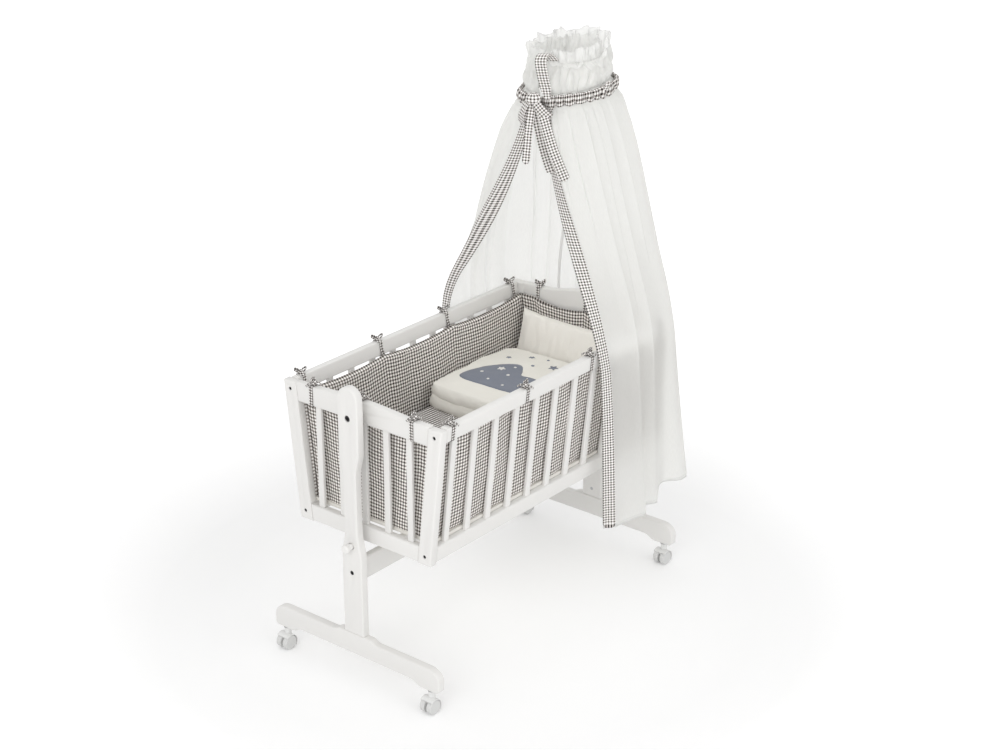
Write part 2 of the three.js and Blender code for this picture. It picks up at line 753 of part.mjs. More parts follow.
function casterWheels() {
  const [radius, axle] = [wheelDiameter / 2, axleDiameter / 2];
  const half = [
    [wheelInner, axle],
    [wheelInner, radius - wheelEdge],
    [wheelInner + wheelEdge, radius],
    [wheelOuter - wheelEdge, radius],
    [wheelOuter, radius - wheelEdge],
    [wheelOuter, 0],
  ];
  const otherHalf = [...half].reverse().map(([y, r]) => [-y, r]);
  const points = [...otherHalf, ...half].map(([y, r]) => new THREE.Vector2(r, y));
  const wheels = new THREE.LatheGeometry(points, wheelSides).rotateY(Math.PI / wheelSides);
  return wheels.translate(casterTrail, 0, wheelFlat);
}

for (const end of ends) {
  for (const side of sides) {
    const name = `${end.name}_${side.name}_caster`;
    const group = new THREE.Group();
    group.position.set(end.sign * standPostFace, side.sign * stemY, 0);
    group.rotation.z = Math.PI;
    crib.add(group);
    addPiece(`${name}_stem`, casterStem(), steel, group);
    addPiece(`${name}_hood`, casterHood(), plastic, group);
    addPiece(`${name}_wheels`, casterWheels(), greyRubber, group);
  }
}

// A closed soft form: an outline of points, drawn in towards its middle level by level. Each level is
// [share of the outline, height], from the lower face to the upper face.
function cushion(points, levels) {
  const middle = points.reduce(([a, b], [x, y]) => [a + x / points.length, b + y / points.length], [0, 0]);
  const positions = [];
  for (const [share, height] of levels) {
    for (const [x, y] of points) {
      positions.push(middle[0] + (x - middle[0]) * share, middle[1] + (y - middle[1]) * share, height);
    }
  }
  const [count, rows] = [points.length, levels.length];
  const lowerPole = positions.length / 3;
  positions.push(...middle, levels[0][1], ...middle, levels[rows - 1][1]);
  const index = [];
  for (let i = 0; i < count; i += 1) {
    const next = (i + 1) % count;
    index.push(lowerPole, next, i);
    index.push(lowerPole + 1, (rows - 1) * count + i, (rows - 1) * count + next);
    for (let row = 0; row < rows - 1; row += 1) {
      const [a, b] = [row * count + i, row * count + next];
      index.push(a, b, b + count, a, b + count, a + count);
    }
  }
  const geometry = new THREE.BufferGeometry();
  geometry.setAttribute('position', new THREE.Float32BufferAttribute(positions, 3));
  geometry.setIndex(index);
  return geometry;
}

// Points around a four-sided cushion with round corners, whose sides are drawn in between the corners.
function cushionOutline(corners, radius, drawIn, count = cushionSides) {
  const path = new THREE.Path();
  const place = corners.map(([x, y]) => new THREE.Vector2(x, y));
  place.forEach((corner, i) => {
    const before = place[(i + corners.length - 1) % corners.length];
    const after = place[(i + 1) % corners.length];
    const arrive = corner.clone().add(before.clone().sub(corner).setLength(radius));
    const leave = corner.clone().add(after.clone().sub(corner).setLength(radius));
    const between = corner.clone().add(after).multiplyScalar(0.5);
    const nextArrive = after.clone().add(corner.clone().sub(after).setLength(radius));
    const centre = place.reduce((sum, p) => sum.add(p), new THREE.Vector2()).divideScalar(corners.length);
    const pulled = between.clone().add(centre.clone().sub(between).setLength(2 * drawIn));
    if (i === 0) path.moveTo(arrive.x, arrive.y);
    path.quadraticCurveTo(corner.x, corner.y, leave.x, leave.y);
    path.quadraticCurveTo(pulled.x, pulled.y, nextArrive.x, nextArrive.y);
  });
  return path.getSpacedPoints(count).slice(0, count).map((p) => [p.x, p.y]);
}

function rectangleCorners(halfX, halfY, centreX = 0) {
  return [[centreX - halfX, -halfY], [centreX + halfX, -halfY], [centreX + halfX, halfY], [centreX - halfX, halfY]];
}

// A bumper panel with its lower face on height 0.
function bumperPanel(corners) {
  return cushion(cushionOutline(corners, bumperCornerRadius, bumperDrawIn, 32), [
    [0.93, 0],
    [0.985, bumperPuff],
    [1, bumperThickness / 2],
    [0.985, bumperThickness - bumperPuff],
    [0.93, bumperThickness],
  ]);
}

// Bumper panels stand on the base board inside the slats, the side ones between the end panels and the
// end ones between the side ones.
const bumperBase = boardTop + softGap;
const bumperTop = cradleTop - bumperDrop;
const sideBumperOuter = sideInset + sideRailThickness + softGap; // inward from the corner posts' edges
const sideBumperInner = sideBumperOuter + bumperThickness;
const upSlope = (z, inward) => (z - cradleBottom - inward * Math.sin(lean)) / Math.cos(lean);

function insideHalfWidth(z, inward) {
  return sideLocalToWorld(inward, upSlope(z, inward))[0];
}

for (const { name, sign } of sides) {
  const panel = sideGroup(sign);
  const low = upSlope(bumperBase, sideBumperOuter);
  const high = upSlope(bumperTop, sideBumperInner);
  const halfLength = insideLength / 2 - softGap;
  const corners = [[-halfLength, low], [halfLength, low], [halfLength, high], [-halfLength, high]];
  const bumper = bumperPanel(corners);
  bumper.rotateX(Math.PI / 2);
  if (sign > 0) bumper.translate(0, -sideBumperOuter, 0);
  else bumper.translate(0, sideBumperInner, 0);
  addPiece(`${name}_bumper`, bumper, gingham, panel);
}

const endBumperOuter = endPanelInner - softGap;
const endBumperInner = endBumperOuter - bumperThickness;
for (const { name, sign } of ends) {
  const low = insideHalfWidth(bumperBase, sideBumperInner) - softGap;
  const high = insideHalfWidth(bumperTop, sideBumperInner) - softGap;
  const corners = [[-low, bumperBase], [low, bumperBase], [high, bumperTop], [-high, bumperTop]];
  const bumper = facingX(bumperPanel(corners));
  bumper.translate(sign < 0 ? -endBumperOuter : endBumperInner, 0, 0);
  addPiece(`${name}_bumper`, bumper, gingham);
}

// The mattress lies between the bumpers.
const mattressBase = boardTop + softGap;
const mattressTop = mattressBase + mattressHeight;
const mattressHalfWidth = insideHalfWidth(mattressBase, sideBumperInner) - softGap;
const mattressHalfLength = endBumperInner - softGap;
const mattressCorners = rectangleCorners(mattressHalfLength, mattressHalfWidth);
const mattress = cushion(
  cushionOutline(mattressCorners, mattressCornerRadius, mattressDrawIn),
  [
    [0.985, mattressBase],
    [1, mattressBase + mattressEdge],
    [1, mattressTop - mattressEdge - mattressCrown],
    [0.985, mattressTop - mattressCrown],
    [0.9, mattressTop - mattressCrown / 3],
    [0.4, mattressTop],
  ],
);
addPiece('mattress', mattress, gingham);

// The pillow stands on the mattress and leans on the head end bumper.
const pillowLevels = [
  [0.6, -0.46],
  [0.86, -0.36],
  [0.96, -0.18],
  [1, 0],
  [0.96, 0.18],
  [0.86, 0.36],
  [0.6, 0.46],
];
const pillow = cushion(
  cushionOutline(rectangleCorners(pillowWidth / 2, pillowHeight / 2), pillowCornerRadius, pillowDrawIn),
  [...pillowLevels, [0.3, 0.5]].map(([share, height]) => [share, height * pillowThickness]),
);
const [pillowSine, pillowCosine] = [Math.sin(pillowTiltAngle * degree), Math.cos(pillowTiltAngle * degree)];
pillow.applyMatrix4(new THREE.Matrix4().makeBasis(
  new THREE.Vector3(0, -1, 0),
  new THREE.Vector3(pillowSine, 0, pillowCosine),
  new THREE.Vector3(-pillowCosine, 0, pillowSine),
));
// How far the tilted pillow reaches back and down from its middle
const pillowExtent = (sine, cosine) => Math.max(...pillowLevels.map(([share, height]) => (
  (share * sine * pillowHeight) / 2 - height * pillowThickness * cosine
)));
const pillowX = endBumperInner - softGap - pillowExtent(pillowSine, pillowCosine);
const pillowZ = mattressTop - pillowDip + softGap + pillowExtent(pillowCosine, pillowSine);
pillow.translate(pillowX, 0, pillowZ);
addPiece('pillow', pillow, cream);

// The folded quilt lies in front of the pillow, in two layers.
const quiltBase = mattressTop + softGap;
const quiltHead = pillowX - (pillowZ - quiltBase) * Math.tan(pillowTiltAngle * degree) - pillowThickness / 2;
const quiltHalfWidth = insideHalfWidth(quiltBase, sideBumperInner) - 2 * softGap;
const quiltCorners = rectangleCorners(quiltLength / 2, quiltHalfWidth, quiltHead - quiltLength / 2);
const quilt = cushion(
  cushionOutline(quiltCorners, quiltCornerRadius, quiltDrawIn),
  [
    [0.96, 0],
    [1, 0.12],
    [1, 0.36],
    [0.975, 0.48],
    [1, 0.6],
    [0.99, 0.8],
    [0.93, 0.96],
    [0.8, 1],
    [0.4, 1 + quiltCrown / quiltThickness],
  ].map(([share, height]) => [share, quiltBase + height * quiltThickness]),
);
addPiece('quilt', quilt, cream);

// The canopy's pole stands in two clamps on the outside of the head end and carries a hoop.
const poleX = endRailOuter + seatGap + clampWall + poleDiameter / 2;
const poleBend = endTopRailTop + poleStraightRise;
const poleTurnShare = 0.35; // of its height above the bend, at each end of its curve

function hoopLevel(x, y) {
  const angle = hoopSlopeAngle * degree;
  return hoopHeight + hoopSlope * ((x - hoopX) * Math.cos(angle) + (y - hoopY) * Math.sin(angle));
}

function canopyPole() {
  const joinAngle = poleJoinAngle * degree;
  const joinX = hoopX + hoopRadius * Math.cos(joinAngle);
  const joinY = hoopY + hoopRadius * Math.sin(joinAngle);
  const top = hoopLevel(joinX, joinY);
  const path = new THREE.CurvePath();
  const bend = new THREE.Vector3(poleX, poleY, poleBend);
  const end = new THREE.Vector3(joinX, joinY, top);
  path.add(new THREE.LineCurve3(new THREE.Vector3(poleX, poleY, poleFoot), bend));
  const turn = (top - poleBend) * poleTurnShare;
  const leave = bend.clone().add(new THREE.Vector3(0, 0, turn));
  const arrive = end.clone().add(new THREE.Vector3(poleBowX, poleBowY, -turn));
  path.add(new THREE.CubicBezierCurve3(bend, leave, arrive, end));
  const section = new THREE.Shape().absarc(0, 0, poleDiameter / 2, 0, 2 * Math.PI);
  const pole = new THREE.ExtrudeGeometry(section, { extrudePath: path, steps: 20, curveSegments: 4 });
  const hoop = new THREE.TorusGeometry(hoopRadius, poleDiameter / 2, 6, 32);
  const rise = new THREE.Vector3(Math.cos(hoopSlopeAngle * degree), Math.sin(hoopSlopeAngle * degree), 0);
  const tiltAxis = new THREE.Vector3(rise.y, -rise.x, 0);
  hoop.applyMatrix4(new THREE.Matrix4().makeRotationAxis(tiltAxis, Math.atan(hoopSlope)));
  return join(pole, hoop.translate(hoopX, hoopY, hoopHeight));
}
addPiece('canopy_pole', canopyPole(), white);

function poleClamp(base, isCup) {
  const depth = 2 * clampWall + poleDiameter;
  const block = prism(roundedRectangle(depth, clampWidth, clampRounding), clampHeight);
  block.translate(poleX, poleY, base + clampHeight / 2);
  const boreBase = isCup ? poleFoot - seatGap : base - overrun;
  const bore = uprightRod(boreBase, base + clampHeight + overrun, poleDiameter + 2 * seatGap, poleX, poleY);
  return cut(block, bore);
}
addPiece('canopy_clamp_top', poleClamp((endTopRailBase + endTopRailTop - clampHeight) / 2, false), plastic);
addPiece('canopy_clamp_bottom', poleClamp(poleFoot - clampWall, true), plastic);

// The canopy is one sheet that starts at the right front edge, goes round the head end and ends at the
// left front edge. It is gathered on the hoop, comes off the cradle at the shoulder and hangs to the hem.
const clothReach = clothClearance + foldDepthShoulder + clothThickness / 2;
const shoulderHalfWidth = topWidth / 2 + clothReach;
const shoulderBack = standPostOuter + clothReach;
const shoulderHeight = cradleTop + shoulderLift;

function drapePath(front, back, halfWidth, rounding) {
  const path = new THREE.Path();
  path.moveTo(front, -halfWidth);
  path.absarc(back - rounding, rounding - halfWidth, rounding, -Math.PI / 2, 0);
  path.absarc(back - rounding, halfWidth - rounding, rounding, 0, Math.PI / 2);
  path.lineTo(front, halfWidth);
  return path;
}

const shoulderPath = drapePath(shoulderFront, shoulderBack, shoulderHalfWidth, shoulderRounding);
const hemPath = drapePath(hemFront, shoulderBack + hemSpread, shoulderHalfWidth + hemSpread, hemRounding);

function hoopPoint(t, radius) {
  const angle = (180 + openingAngle + t * (360 - 2 * openingAngle)) * degree;
  return new THREE.Vector2(hoopX + radius * Math.cos(angle), hoopY + radius * Math.sin(angle));
}

function foldedPoint(centre, outward, depth, t) {
  return centre.clone().addScaledVector(outward, depth * Math.cos(2 * Math.PI * foldCount * t));
}

function pathPoint(path, t, depth) {
  const tangent = path.getTangentAt(t);
  return foldedPoint(path.getPointAt(t), new THREE.Vector2(tangent.y, -tangent.x), depth, t);
}

// Levels above the shoulder are shares of the way from the hoop down to the shoulder.
const hangRadius = hoopRadius + poleDiameter / 2 + clothThickness / 2 + foldDepthHoop + seatGap;
const neckRadius = hoopRadius - neckTuck;

function clothPoint(t, level) {
  const ring = (radius, lift, depth) => {
    const centre = hoopPoint(t, radius);
    const outward = centre.clone().sub(new THREE.Vector2(hoopX, hoopY)).normalize();
    const point = foldedPoint(centre, outward, depth, t);
    return new THREE.Vector3(point.x, point.y, hoopLevel(centre.x, centre.y) + lift);
  };
  if (level.lift !== undefined) return ring(level.radius, level.lift, level.depth);
  if (level.fall !== undefined) {
    const front = Math.cos(Math.PI * t) ** 4;
    const share = level.fall - frontSag * front * Math.sin(Math.PI * level.fall);
    const top = ring(hangRadius, 0, foldDepthHoop);
    const low = pathPoint(shoulderPath, t, foldDepthShoulder);
    const z = top.z + (shoulderHeight - top.z) * level.fall;
    return new THREE.Vector3(top.x + (low.x - top.x) * share, top.y + (low.y - top.y) * share, z);
  }
  const drop = level.drop;
  const high = pathPoint(shoulderPath, t, foldDepthShoulder);
  const low = pathPoint(hemPath, t, foldDepthHem);
  const point = high.lerp(low, drop);
  return new THREE.Vector3(point.x, point.y, shoulderHeight + (hemHeight - shoulderHeight) * drop);
}

const clothLevels = [
  { drop: 1 },
  { drop: 0.5 },
  { drop: 0 },
  { fall: 0.75 },
  { fall: 0.5 },
  { fall: 0.25 },
  { lift: -bandHeight / 2, radius: hangRadius, depth: foldDepthHoop },
  { lift: -bandHeight / 6, radius: hangRadius + bandPuff, depth: foldDepthHoop },
  { lift: bandHeight / 6, radius: hangRadius + bandPuff, depth: foldDepthHoop },
  { lift: bandHeight * 0.6, radius: neckRadius, depth: foldDepthHoop },
  { lift: ruffleHeight * 0.55, radius: hoopRadius + ruffleFlare * 0.6, depth: foldDepthRuffle * 0.7 },
  { lift: ruffleHeight, radius: hoopRadius + ruffleFlare, depth: foldDepthRuffle },
];

// Gives a sheet of points its thickness and closes its edges.
function thickSheet(rows, thickness) {
  const [height, width] = [rows.length, rows[0].length];
  const normalAt = (row, column) => {
    const along = rows[row][Math.min(column + 1, width - 1)].clone().sub(rows[row][Math.max(column - 1, 0)]);
    const upward = rows[Math.min(row + 1, height - 1)][column].clone().sub(rows[Math.max(row - 1, 0)][column]);
    return along.cross(upward).normalize();
  };
  const positions = [];
  for (const side of [0.5, -0.5]) {
    for (let row = 0; row < height; row += 1) {
      for (let column = 0; column < width; column += 1) {
        const point = rows[row][column].clone().addScaledVector(normalAt(row, column), side * thickness);
        positions.push(...point);
      }
    }
  }
  const index = [];
  const layer = width * height;
  const quad = (a, b, c, d) => index.push(a, b, c, a, c, d);
  for (let row = 0; row < height - 1; row += 1) {
    for (let column = 0; column < width - 1; column += 1) {
      const a = row * width + column;
      quad(a, a + 1, a + width + 1, a + width);
      quad(layer + a, layer + a + width, layer + a + width + 1, layer + a + 1);
    }
    const [left, right] = [row * width, row * width + width - 1];
    quad(left, left + width, layer + left + width, layer + left);
    quad(right, layer + right, layer + right + width, right + width);
  }
  for (let column = 0; column < width - 1; column += 1) {
    const [low, high] = [column, (height - 1) * width + column];
    quad(low, layer + low, layer + low + 1, low + 1);
    quad(high, high + 1, layer + high + 1, layer + high);
  }
  const geometry = new THREE.BufferGeometry();
  geometry.setAttribute('position', new THREE.Float32BufferAttribute(positions, 3));
  geometry.setIndex(index);
  return geometry;
}

const clothColumns = 5 * foldCount;
const clothRows = clothLevels.map((level) => (
  Array.from({ length: clothColumns + 1 }, (_, i) => clothPoint(i / clothColumns, level))
));
addPiece('canopy_cloth', thickSheet(clothRows, clothThickness), voile);

export default crib;
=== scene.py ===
import bisect
import json
import math

import bmesh
import bpy
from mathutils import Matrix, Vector, noise
from mathutils.bvhtree import BVHTree


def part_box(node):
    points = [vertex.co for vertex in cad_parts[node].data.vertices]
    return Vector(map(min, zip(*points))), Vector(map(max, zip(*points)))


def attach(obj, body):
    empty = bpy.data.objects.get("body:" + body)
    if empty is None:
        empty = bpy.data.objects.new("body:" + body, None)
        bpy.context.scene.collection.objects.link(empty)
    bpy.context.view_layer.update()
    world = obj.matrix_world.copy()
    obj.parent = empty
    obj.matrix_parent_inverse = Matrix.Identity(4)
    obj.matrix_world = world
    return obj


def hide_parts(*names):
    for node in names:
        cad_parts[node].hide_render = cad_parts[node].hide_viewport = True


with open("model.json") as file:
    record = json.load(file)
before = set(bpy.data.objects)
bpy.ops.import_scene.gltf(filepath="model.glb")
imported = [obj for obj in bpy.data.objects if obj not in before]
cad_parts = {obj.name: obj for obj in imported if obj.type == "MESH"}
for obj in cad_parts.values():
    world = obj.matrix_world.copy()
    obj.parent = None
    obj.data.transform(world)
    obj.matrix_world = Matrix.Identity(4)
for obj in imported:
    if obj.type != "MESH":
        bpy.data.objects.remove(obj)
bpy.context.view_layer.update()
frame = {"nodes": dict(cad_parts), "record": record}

bpy.context.scene.view_settings.view_transform = "Standard"
endSigns = (("foot_end", -1), ("head_end", 1))
sideSigns = (("left", 1), ("right", -1))
print("frame loaded:", len(frame["nodes"]), "nodes")


# Camera, floor and light

cameraValues = {
    "eye": (-3.8029, -3.1445, 2.7848), "target": (0.1358, 0.0507, 0.6262),
    "lens": 72.98, "sensor": 36, "clipEnd": 60,
}


def linked(name, data):
    # A new object that stands in the scene
    made = bpy.data.objects.new(name, data)
    bpy.context.scene.collection.objects.link(made)
    return made


def aimed(name, data, eye, target):
    # A camera or lamp that looks from one place to another
    made = linked(name, data)
    made.location = eye
    made.rotation_euler = (Vector(target) - Vector(eye)).to_track_quat("-Z", "Y").to_euler()
    return made


def addCamera(values):
    camera = aimed("camera", bpy.data.cameras.new("camera"), values["eye"], values["target"])
    camera.data.sensor_width = values["sensor"]
    camera.data.lens = values["lens"]
    camera.data.clip_end = values["clipEnd"]
    bpy.context.scene.camera = camera


addCamera(cameraValues)


class Socket:
    # A shader value that can be used in an expression
    def __init__(self, shader, link):
        self.shader, self.link = shader, link

    def maths(self, operation, *others):
        return self.shader.node("ShaderNodeMath", {"operation": operation}, dict(enumerate((self, *others))))

    def __add__(self, other):
        return self.maths("ADD", other)

    __radd__ = __add__

    def __sub__(self, other):
        return self.maths("SUBTRACT", other)

    def __rsub__(self, other):
        return self.maths("MULTIPLY_ADD", -1, other)

    def __mul__(self, other):
        return self.maths("MULTIPLY", other)

    __rmul__ = __mul__

    def __truediv__(self, other):
        return self.maths("DIVIDE", other)

    def __lt__(self, other):
        return self.maths("LESS_THAN", other)


class Shader:
    # A material and the nodes that feed its surface
    def __init__(self, name, **settings):
        self.material = bpy.data.materials.new(name)
        self.material.use_nodes = True
        self.tree = self.material.node_tree
        self.surface = self.tree.nodes["Principled BSDF"]
        self.set(**settings)

    def node(self, kind, settings, values, output=0):
        made = self.tree.nodes.new(kind)
        for name, value in settings.items():
            if name == "stops":
                for i, (place, colour) in enumerate(value):
                    stop = made.color_ramp.elements[i] if i < 2 else made.color_ramp.elements.new(place)
                    stop.position, stop.color = place, (*colour, 1)
            else:
                setattr(made, name, value)
        for name, value in values.items():
            self.feed(made.inputs[name], value)
        return Socket(self, made.outputs[output])

    def feed(self, socket, value):
        if isinstance(value, Socket):
            self.tree.links.new(value.link, socket)
        elif hasattr(value, "__len__") and len(value) == 3 and socket.type == "RGBA":
            socket.default_value = (*value, 1)
        else:
            socket.default_value = value

    def set(self, **values):
        for name, value in values.items():
            self.feed(self.surface.inputs[name.replace("_", " ")], value)

    def place(self, source="Object", scale=(1, 1, 1)):
        output = {"Object": 3, "UV": 2}[source]
        point = self.node("ShaderNodeTexCoord", {}, {}, output)
        return self.node("ShaderNodeMapping", {}, {"Vector": point, "Scale": scale})

    def axes(self, point):
        split = self.node("ShaderNodeSeparateXYZ", {}, {"Vector": point})
        return [Socket(self, output) for output in split.link.node.outputs]

    def noise(self, point, scale, detail=2, roughness=0.5):
        values = {"Vector": point, "Scale": scale, "Detail": detail, "Roughness": roughness}
        return self.node("ShaderNodeTexNoise", {}, values)

    def ramp(self, value, stops):
        return self.node("ShaderNodeValToRGB", {"stops": stops}, {"Fac": value})

    def blend(self, share, first, second):
        return self.node("ShaderNodeMix", {"data_type": "RGBA"}, {0: share, 6: first, 7: second}, 2)

    def bump(self, height, distance, strength):
        values = {"Height": height, "Distance": distance, "Strength": strength}
        self.set(Normal=self.node("ShaderNodeBump", {}, values))

    def plain(self):
        return Socket(self, self.surface.outputs[0])

    def show(self, surface):
        # Takes another surface than the plain one for the material
        self.tree.links.new(surface.link, self.tree.nodes["Material Output"].inputs["Surface"])


def mottle(shader, tone, clouds, darkest, roughness, rubs, change):
    # The tone goes darker in clouds, and the roughness changes where it was rubbed
    shade = [channel * darkest for channel in tone]
    shader.set(Base_Color=shader.blend(clouds, shade, tone), Roughness=roughness + (rubs - 0.5) * change)


def lacquerMaterial(name, tone, roughness):
    shader = Shader(name, Specular_IOR_Level=0.45)
    point = shader.place()
    cloudy = shader.noise(point, scale=5, detail=3)
    grain = shader.noise(shader.place(scale=(14, 14, 3)), scale=28, detail=4, roughness=0.6)
    mottle(shader, tone, cloudy, 0.975, roughness, grain, 0.12)
    shader.bump(grain * 0.7 + shader.noise(point, scale=420) * 0.3, distance=0.0002, strength=0.5)
    return shader.material


def ginghamMaterial(name, period, light, middle, dark, share):
    # Checks of crossing bands, each period as wide as a dark and a light band. Share is the dark band's part.
    shader = Shader(name, Roughness=0.92, Sheen_Weight=0.15, Specular_IOR_Level=0.2)
    point = shader.place("UV")
    across, along, _ = shader.axes(point)
    wobble = shader.noise(point, scale=60) * 0.18
    bands = [(axis / period + wobble).maths("FRACT") < share for axis in (across, along)]
    threadWidth = 0.00055
    weave = [(axis * (2 * math.pi / threadWidth)).maths("SINE") for axis in (across, along)]
    tint = shader.noise(point, scale=900) * 0.16 - 0.08
    checks = (bands[0] + bands[1]) * 0.5 + tint
    shader.set(Base_Color=shader.ramp(checks, [(0, light), (1, dark), (0.5, middle)]))
    relief = weave[0] * weave[1] * 0.5 + shader.noise(point, scale=120, detail=3) * 1.5
    shader.bump(relief, distance=0.0003, strength=0.6)
    return shader.material


def quiltedMaterial(name, tone, shade, crinkle):
    shader = Shader(name, Roughness=0.9, Sheen_Weight=0.2, Specular_IOR_Level=0.2)
    point = shader.place("UV")
    soft = shader.noise(point, scale=14, detail=3)
    creases = shader.noise(shader.place("UV", (90, 24, 1)), scale=1.2, detail=5, roughness=0.62)
    threads = shader.noise(shader.place("UV", (2600, 900, 1)), scale=1)
    # The cloth goes to its darker colour where the crease noise is low, in the valleys of the bump: painted
    # shade in the creases, mixed with soft clouds of random tone
    shader.set(Base_Color=shader.blend(soft * 0.6 + creases * 0.4, shade, tone))
    shader.bump(creases * crinkle + threads * 0.06, distance=0.002, strength=0.7)
    return shader.material


def voileMaterial(name, tone, hemWidth, sheer, hemOpacity, glow):
    shader = Shader(name, Roughness=0.85, Sheen_Weight=0.3, Sheen_Roughness=0.35, Specular_IOR_Level=0.15)
    point = shader.place("UV")
    _, height, _ = shader.axes(point)
    hem = height < hemWidth
    slubs = shader.noise(shader.place("UV", (700, 60, 1)), scale=1)
    shader.set(Base_Color=tone)
    shader.bump(slubs, distance=0.0004, strength=0.4)
    through = shader.node("ShaderNodeBsdfTranslucent", {}, {"Color": tone})
    cloth = shader.node("ShaderNodeMixShader", {}, {0: glow, 1: shader.plain(), 2: through})
    opacity = sheer + (hemOpacity - sheer) * hem + (slubs - 0.5) * 0.1
    clear = shader.node("ShaderNodeBsdfTransparent", {}, {})
    shader.show(shader.node("ShaderNodeMixShader", {}, {0: opacity, 1: clear, 2: cloth}))
    return shader.material


def plasticMaterial(name, tone, roughness):
    shader = Shader(name, Specular_IOR_Level=0.5)
    point = shader.place()
    haze = shader.noise(point, scale=30, detail=3)
    scuffs = shader.noise(shader.place(scale=(300, 40, 40)), scale=3, detail=4, roughness=0.7)
    mottle(shader, tone, haze, 0.96, roughness, scuffs, 0.2)
    shader.bump(shader.noise(point, scale=1500), distance=0.0001, strength=0.3)
    return shader.material


def metalMaterial(name, tone, roughness, metallic=1):
    shader = Shader(name, Metallic=metallic)
    turned = shader.noise(shader.place(), scale=900, detail=3, roughness=0.7)
    mottle(shader, tone, turned, 0.85, roughness, turned, 0.25)
    shader.bump(turned, distance=0.0001, strength=0.4)
    return shader.material


finishes = {
    "white_wood": lacquerMaterial("whiteLacquer", (0.8, 0.79, 0.77), roughness=0.42),
    "base_board": lacquerMaterial("boardLacquer", (0.8, 0.78, 0.73), roughness=0.55),
    "white_plastic": plasticMaterial("whitePlastic", (0.83, 0.82, 0.8), roughness=0.35),
    "caster_plastic": plasticMaterial("casterPlastic", (0.81, 0.81, 0.8), roughness=0.28),
    "wheel_plastic": plasticMaterial("wheelPlastic", (0.68, 0.68, 0.67), roughness=0.5),
    "white_tube": plasticMaterial("poleCoating", (0.8, 0.8, 0.79), roughness=0.4),
    "steel": metalMaterial("zincPlate", (0.55, 0.55, 0.56), roughness=0.3),
    "black_steel": metalMaterial("blackOxide", (0.025, 0.025, 0.028), roughness=0.45, metallic=0.6),
    "gingham": ginghamMaterial(
        "bumperGingham", period=0.0093, share=0.46,
        light=(0.98, 0.96, 0.93), middle=(0.42, 0.38, 0.35), dark=(0.006, 0.005, 0.004)),
    "ribbon": ginghamMaterial(
        "ribbonGingham", period=0.0076, share=0.47,
        light=(0.99, 0.98, 0.97), middle=(0.62, 0.58, 0.55), dark=(0.01, 0.008, 0.007)),
    "band": ginghamMaterial(
        "bandGingham", period=0.0088, share=0.5,
        light=(0.99, 0.98, 0.97), middle=(0.5, 0.46, 0.43), dark=(0.004, 0.003, 0.003)),
    "tie": ginghamMaterial(
        "tieGingham", period=0.0074, share=0.5,
        light=(0.95, 0.94, 0.92), middle=(0.36, 0.33, 0.31), dark=(0.008, 0.006, 0.005)),
    "gingham_sheet": ginghamMaterial(
        "sheetGingham", period=0.0093, share=0.48,
        light=(0.98, 0.97, 0.95), middle=(0.42, 0.39, 0.37), dark=(0.02, 0.016, 0.014)),
    # Each quilted cloth has its tone and a darker colour: painted shade in its crease valleys, and random
    # tone in soft clouds
    "cream_quilting": quiltedMaterial("creamCotton", (0.9, 0.88, 0.82), (0.85, 0.83, 0.76), crinkle=0.8),
    "pillow": quiltedMaterial("creamPillowCover", (0.94, 0.92, 0.87), (0.9, 0.87, 0.81), crinkle=1.2),
    "slate": quiltedMaterial("slateApplique", (0.24, 0.26, 0.31), (0.18, 0.2, 0.25), crinkle=0.5),
    "pale": quiltedMaterial("paleApplique", (0.85, 0.84, 0.8), (0.78, 0.77, 0.73), crinkle=0.4),
    "voile": voileMaterial(
        "whiteVoile", (0.96, 0.96, 0.95), hemWidth=0.009, sheer=0.8, hemOpacity=0.96, glow=0.72),
    "ruffle": voileMaterial(
        "ruffleVoile", (0.96, 0.96, 0.95), hemWidth=0, sheer=0.75, hemOpacity=0.9, glow=0.5),
}
print("materials made:", len(finishes))

floorValues = {
    "size": 24, "colour": (0.9, 0.9, 0.9), "nearGlow": 0.09, "farGlow": 0.36, "fadeStart": 0.9, "fade": 0.8,
    "underGlow": 0.15, "underReach": 0.75,
}
lightValues = {
    "sky": 0.8,
    "lamps": {
        "keyLamp": {"at": (-3.9, -1.5, 2.5), "size": 2.6, "watts": 46},
        "frontLamp": {"at": (-0.6, -4.2, 2.4), "size": 3.0, "watts": 30},
        "topLamp": {"at": (0.6, 0.6, 4.6), "size": 3.2, "watts": 12},
    },
    "aim": (0.05, 0, 0.6),
}


def addFloor(values):
    # White paper that glows a little in the picture, more so far off and under the cradle
    bpy.ops.mesh.primitive_plane_add(size=values["size"])
    floor = bpy.context.object
    floor.name = "floor"
    shader = Shader("floorPaper", Base_Color=values["colour"], Roughness=0.9, Specular_IOR_Level=0.1)
    rays = shader.node("ShaderNodeLightPath", {}, {}).link.node.outputs
    kinds = [Socket(shader, rays[f"Is {kind} Ray"]) for kind in ("Camera", "Glossy", "Transmission")]
    seen = (kinds[0] + kinds[1] + kinds[2]).maths("MINIMUM", 1)
    across, along, _ = shader.axes(shader.place())
    away = (across * across + along * along).maths("SQRT")
    fade = ((away - values["fadeStart"]) / values["fade"]).maths("MAXIMUM", 0).maths("MINIMUM", 1)
    under = (1 - away / values["underReach"]).maths("MAXIMUM", 0)
    level = fade * (values["farGlow"] - values["nearGlow"]) + under * values["underGlow"] + values["nearGlow"]
    glow = shader.node("ShaderNodeEmission", {}, {"Color": (1, 1, 1), "Strength": seen * level})
    shader.show(shader.node("ShaderNodeAddShader", {}, {0: shader.plain(), 1: glow}))
    floor.data.materials.append(shader.material)


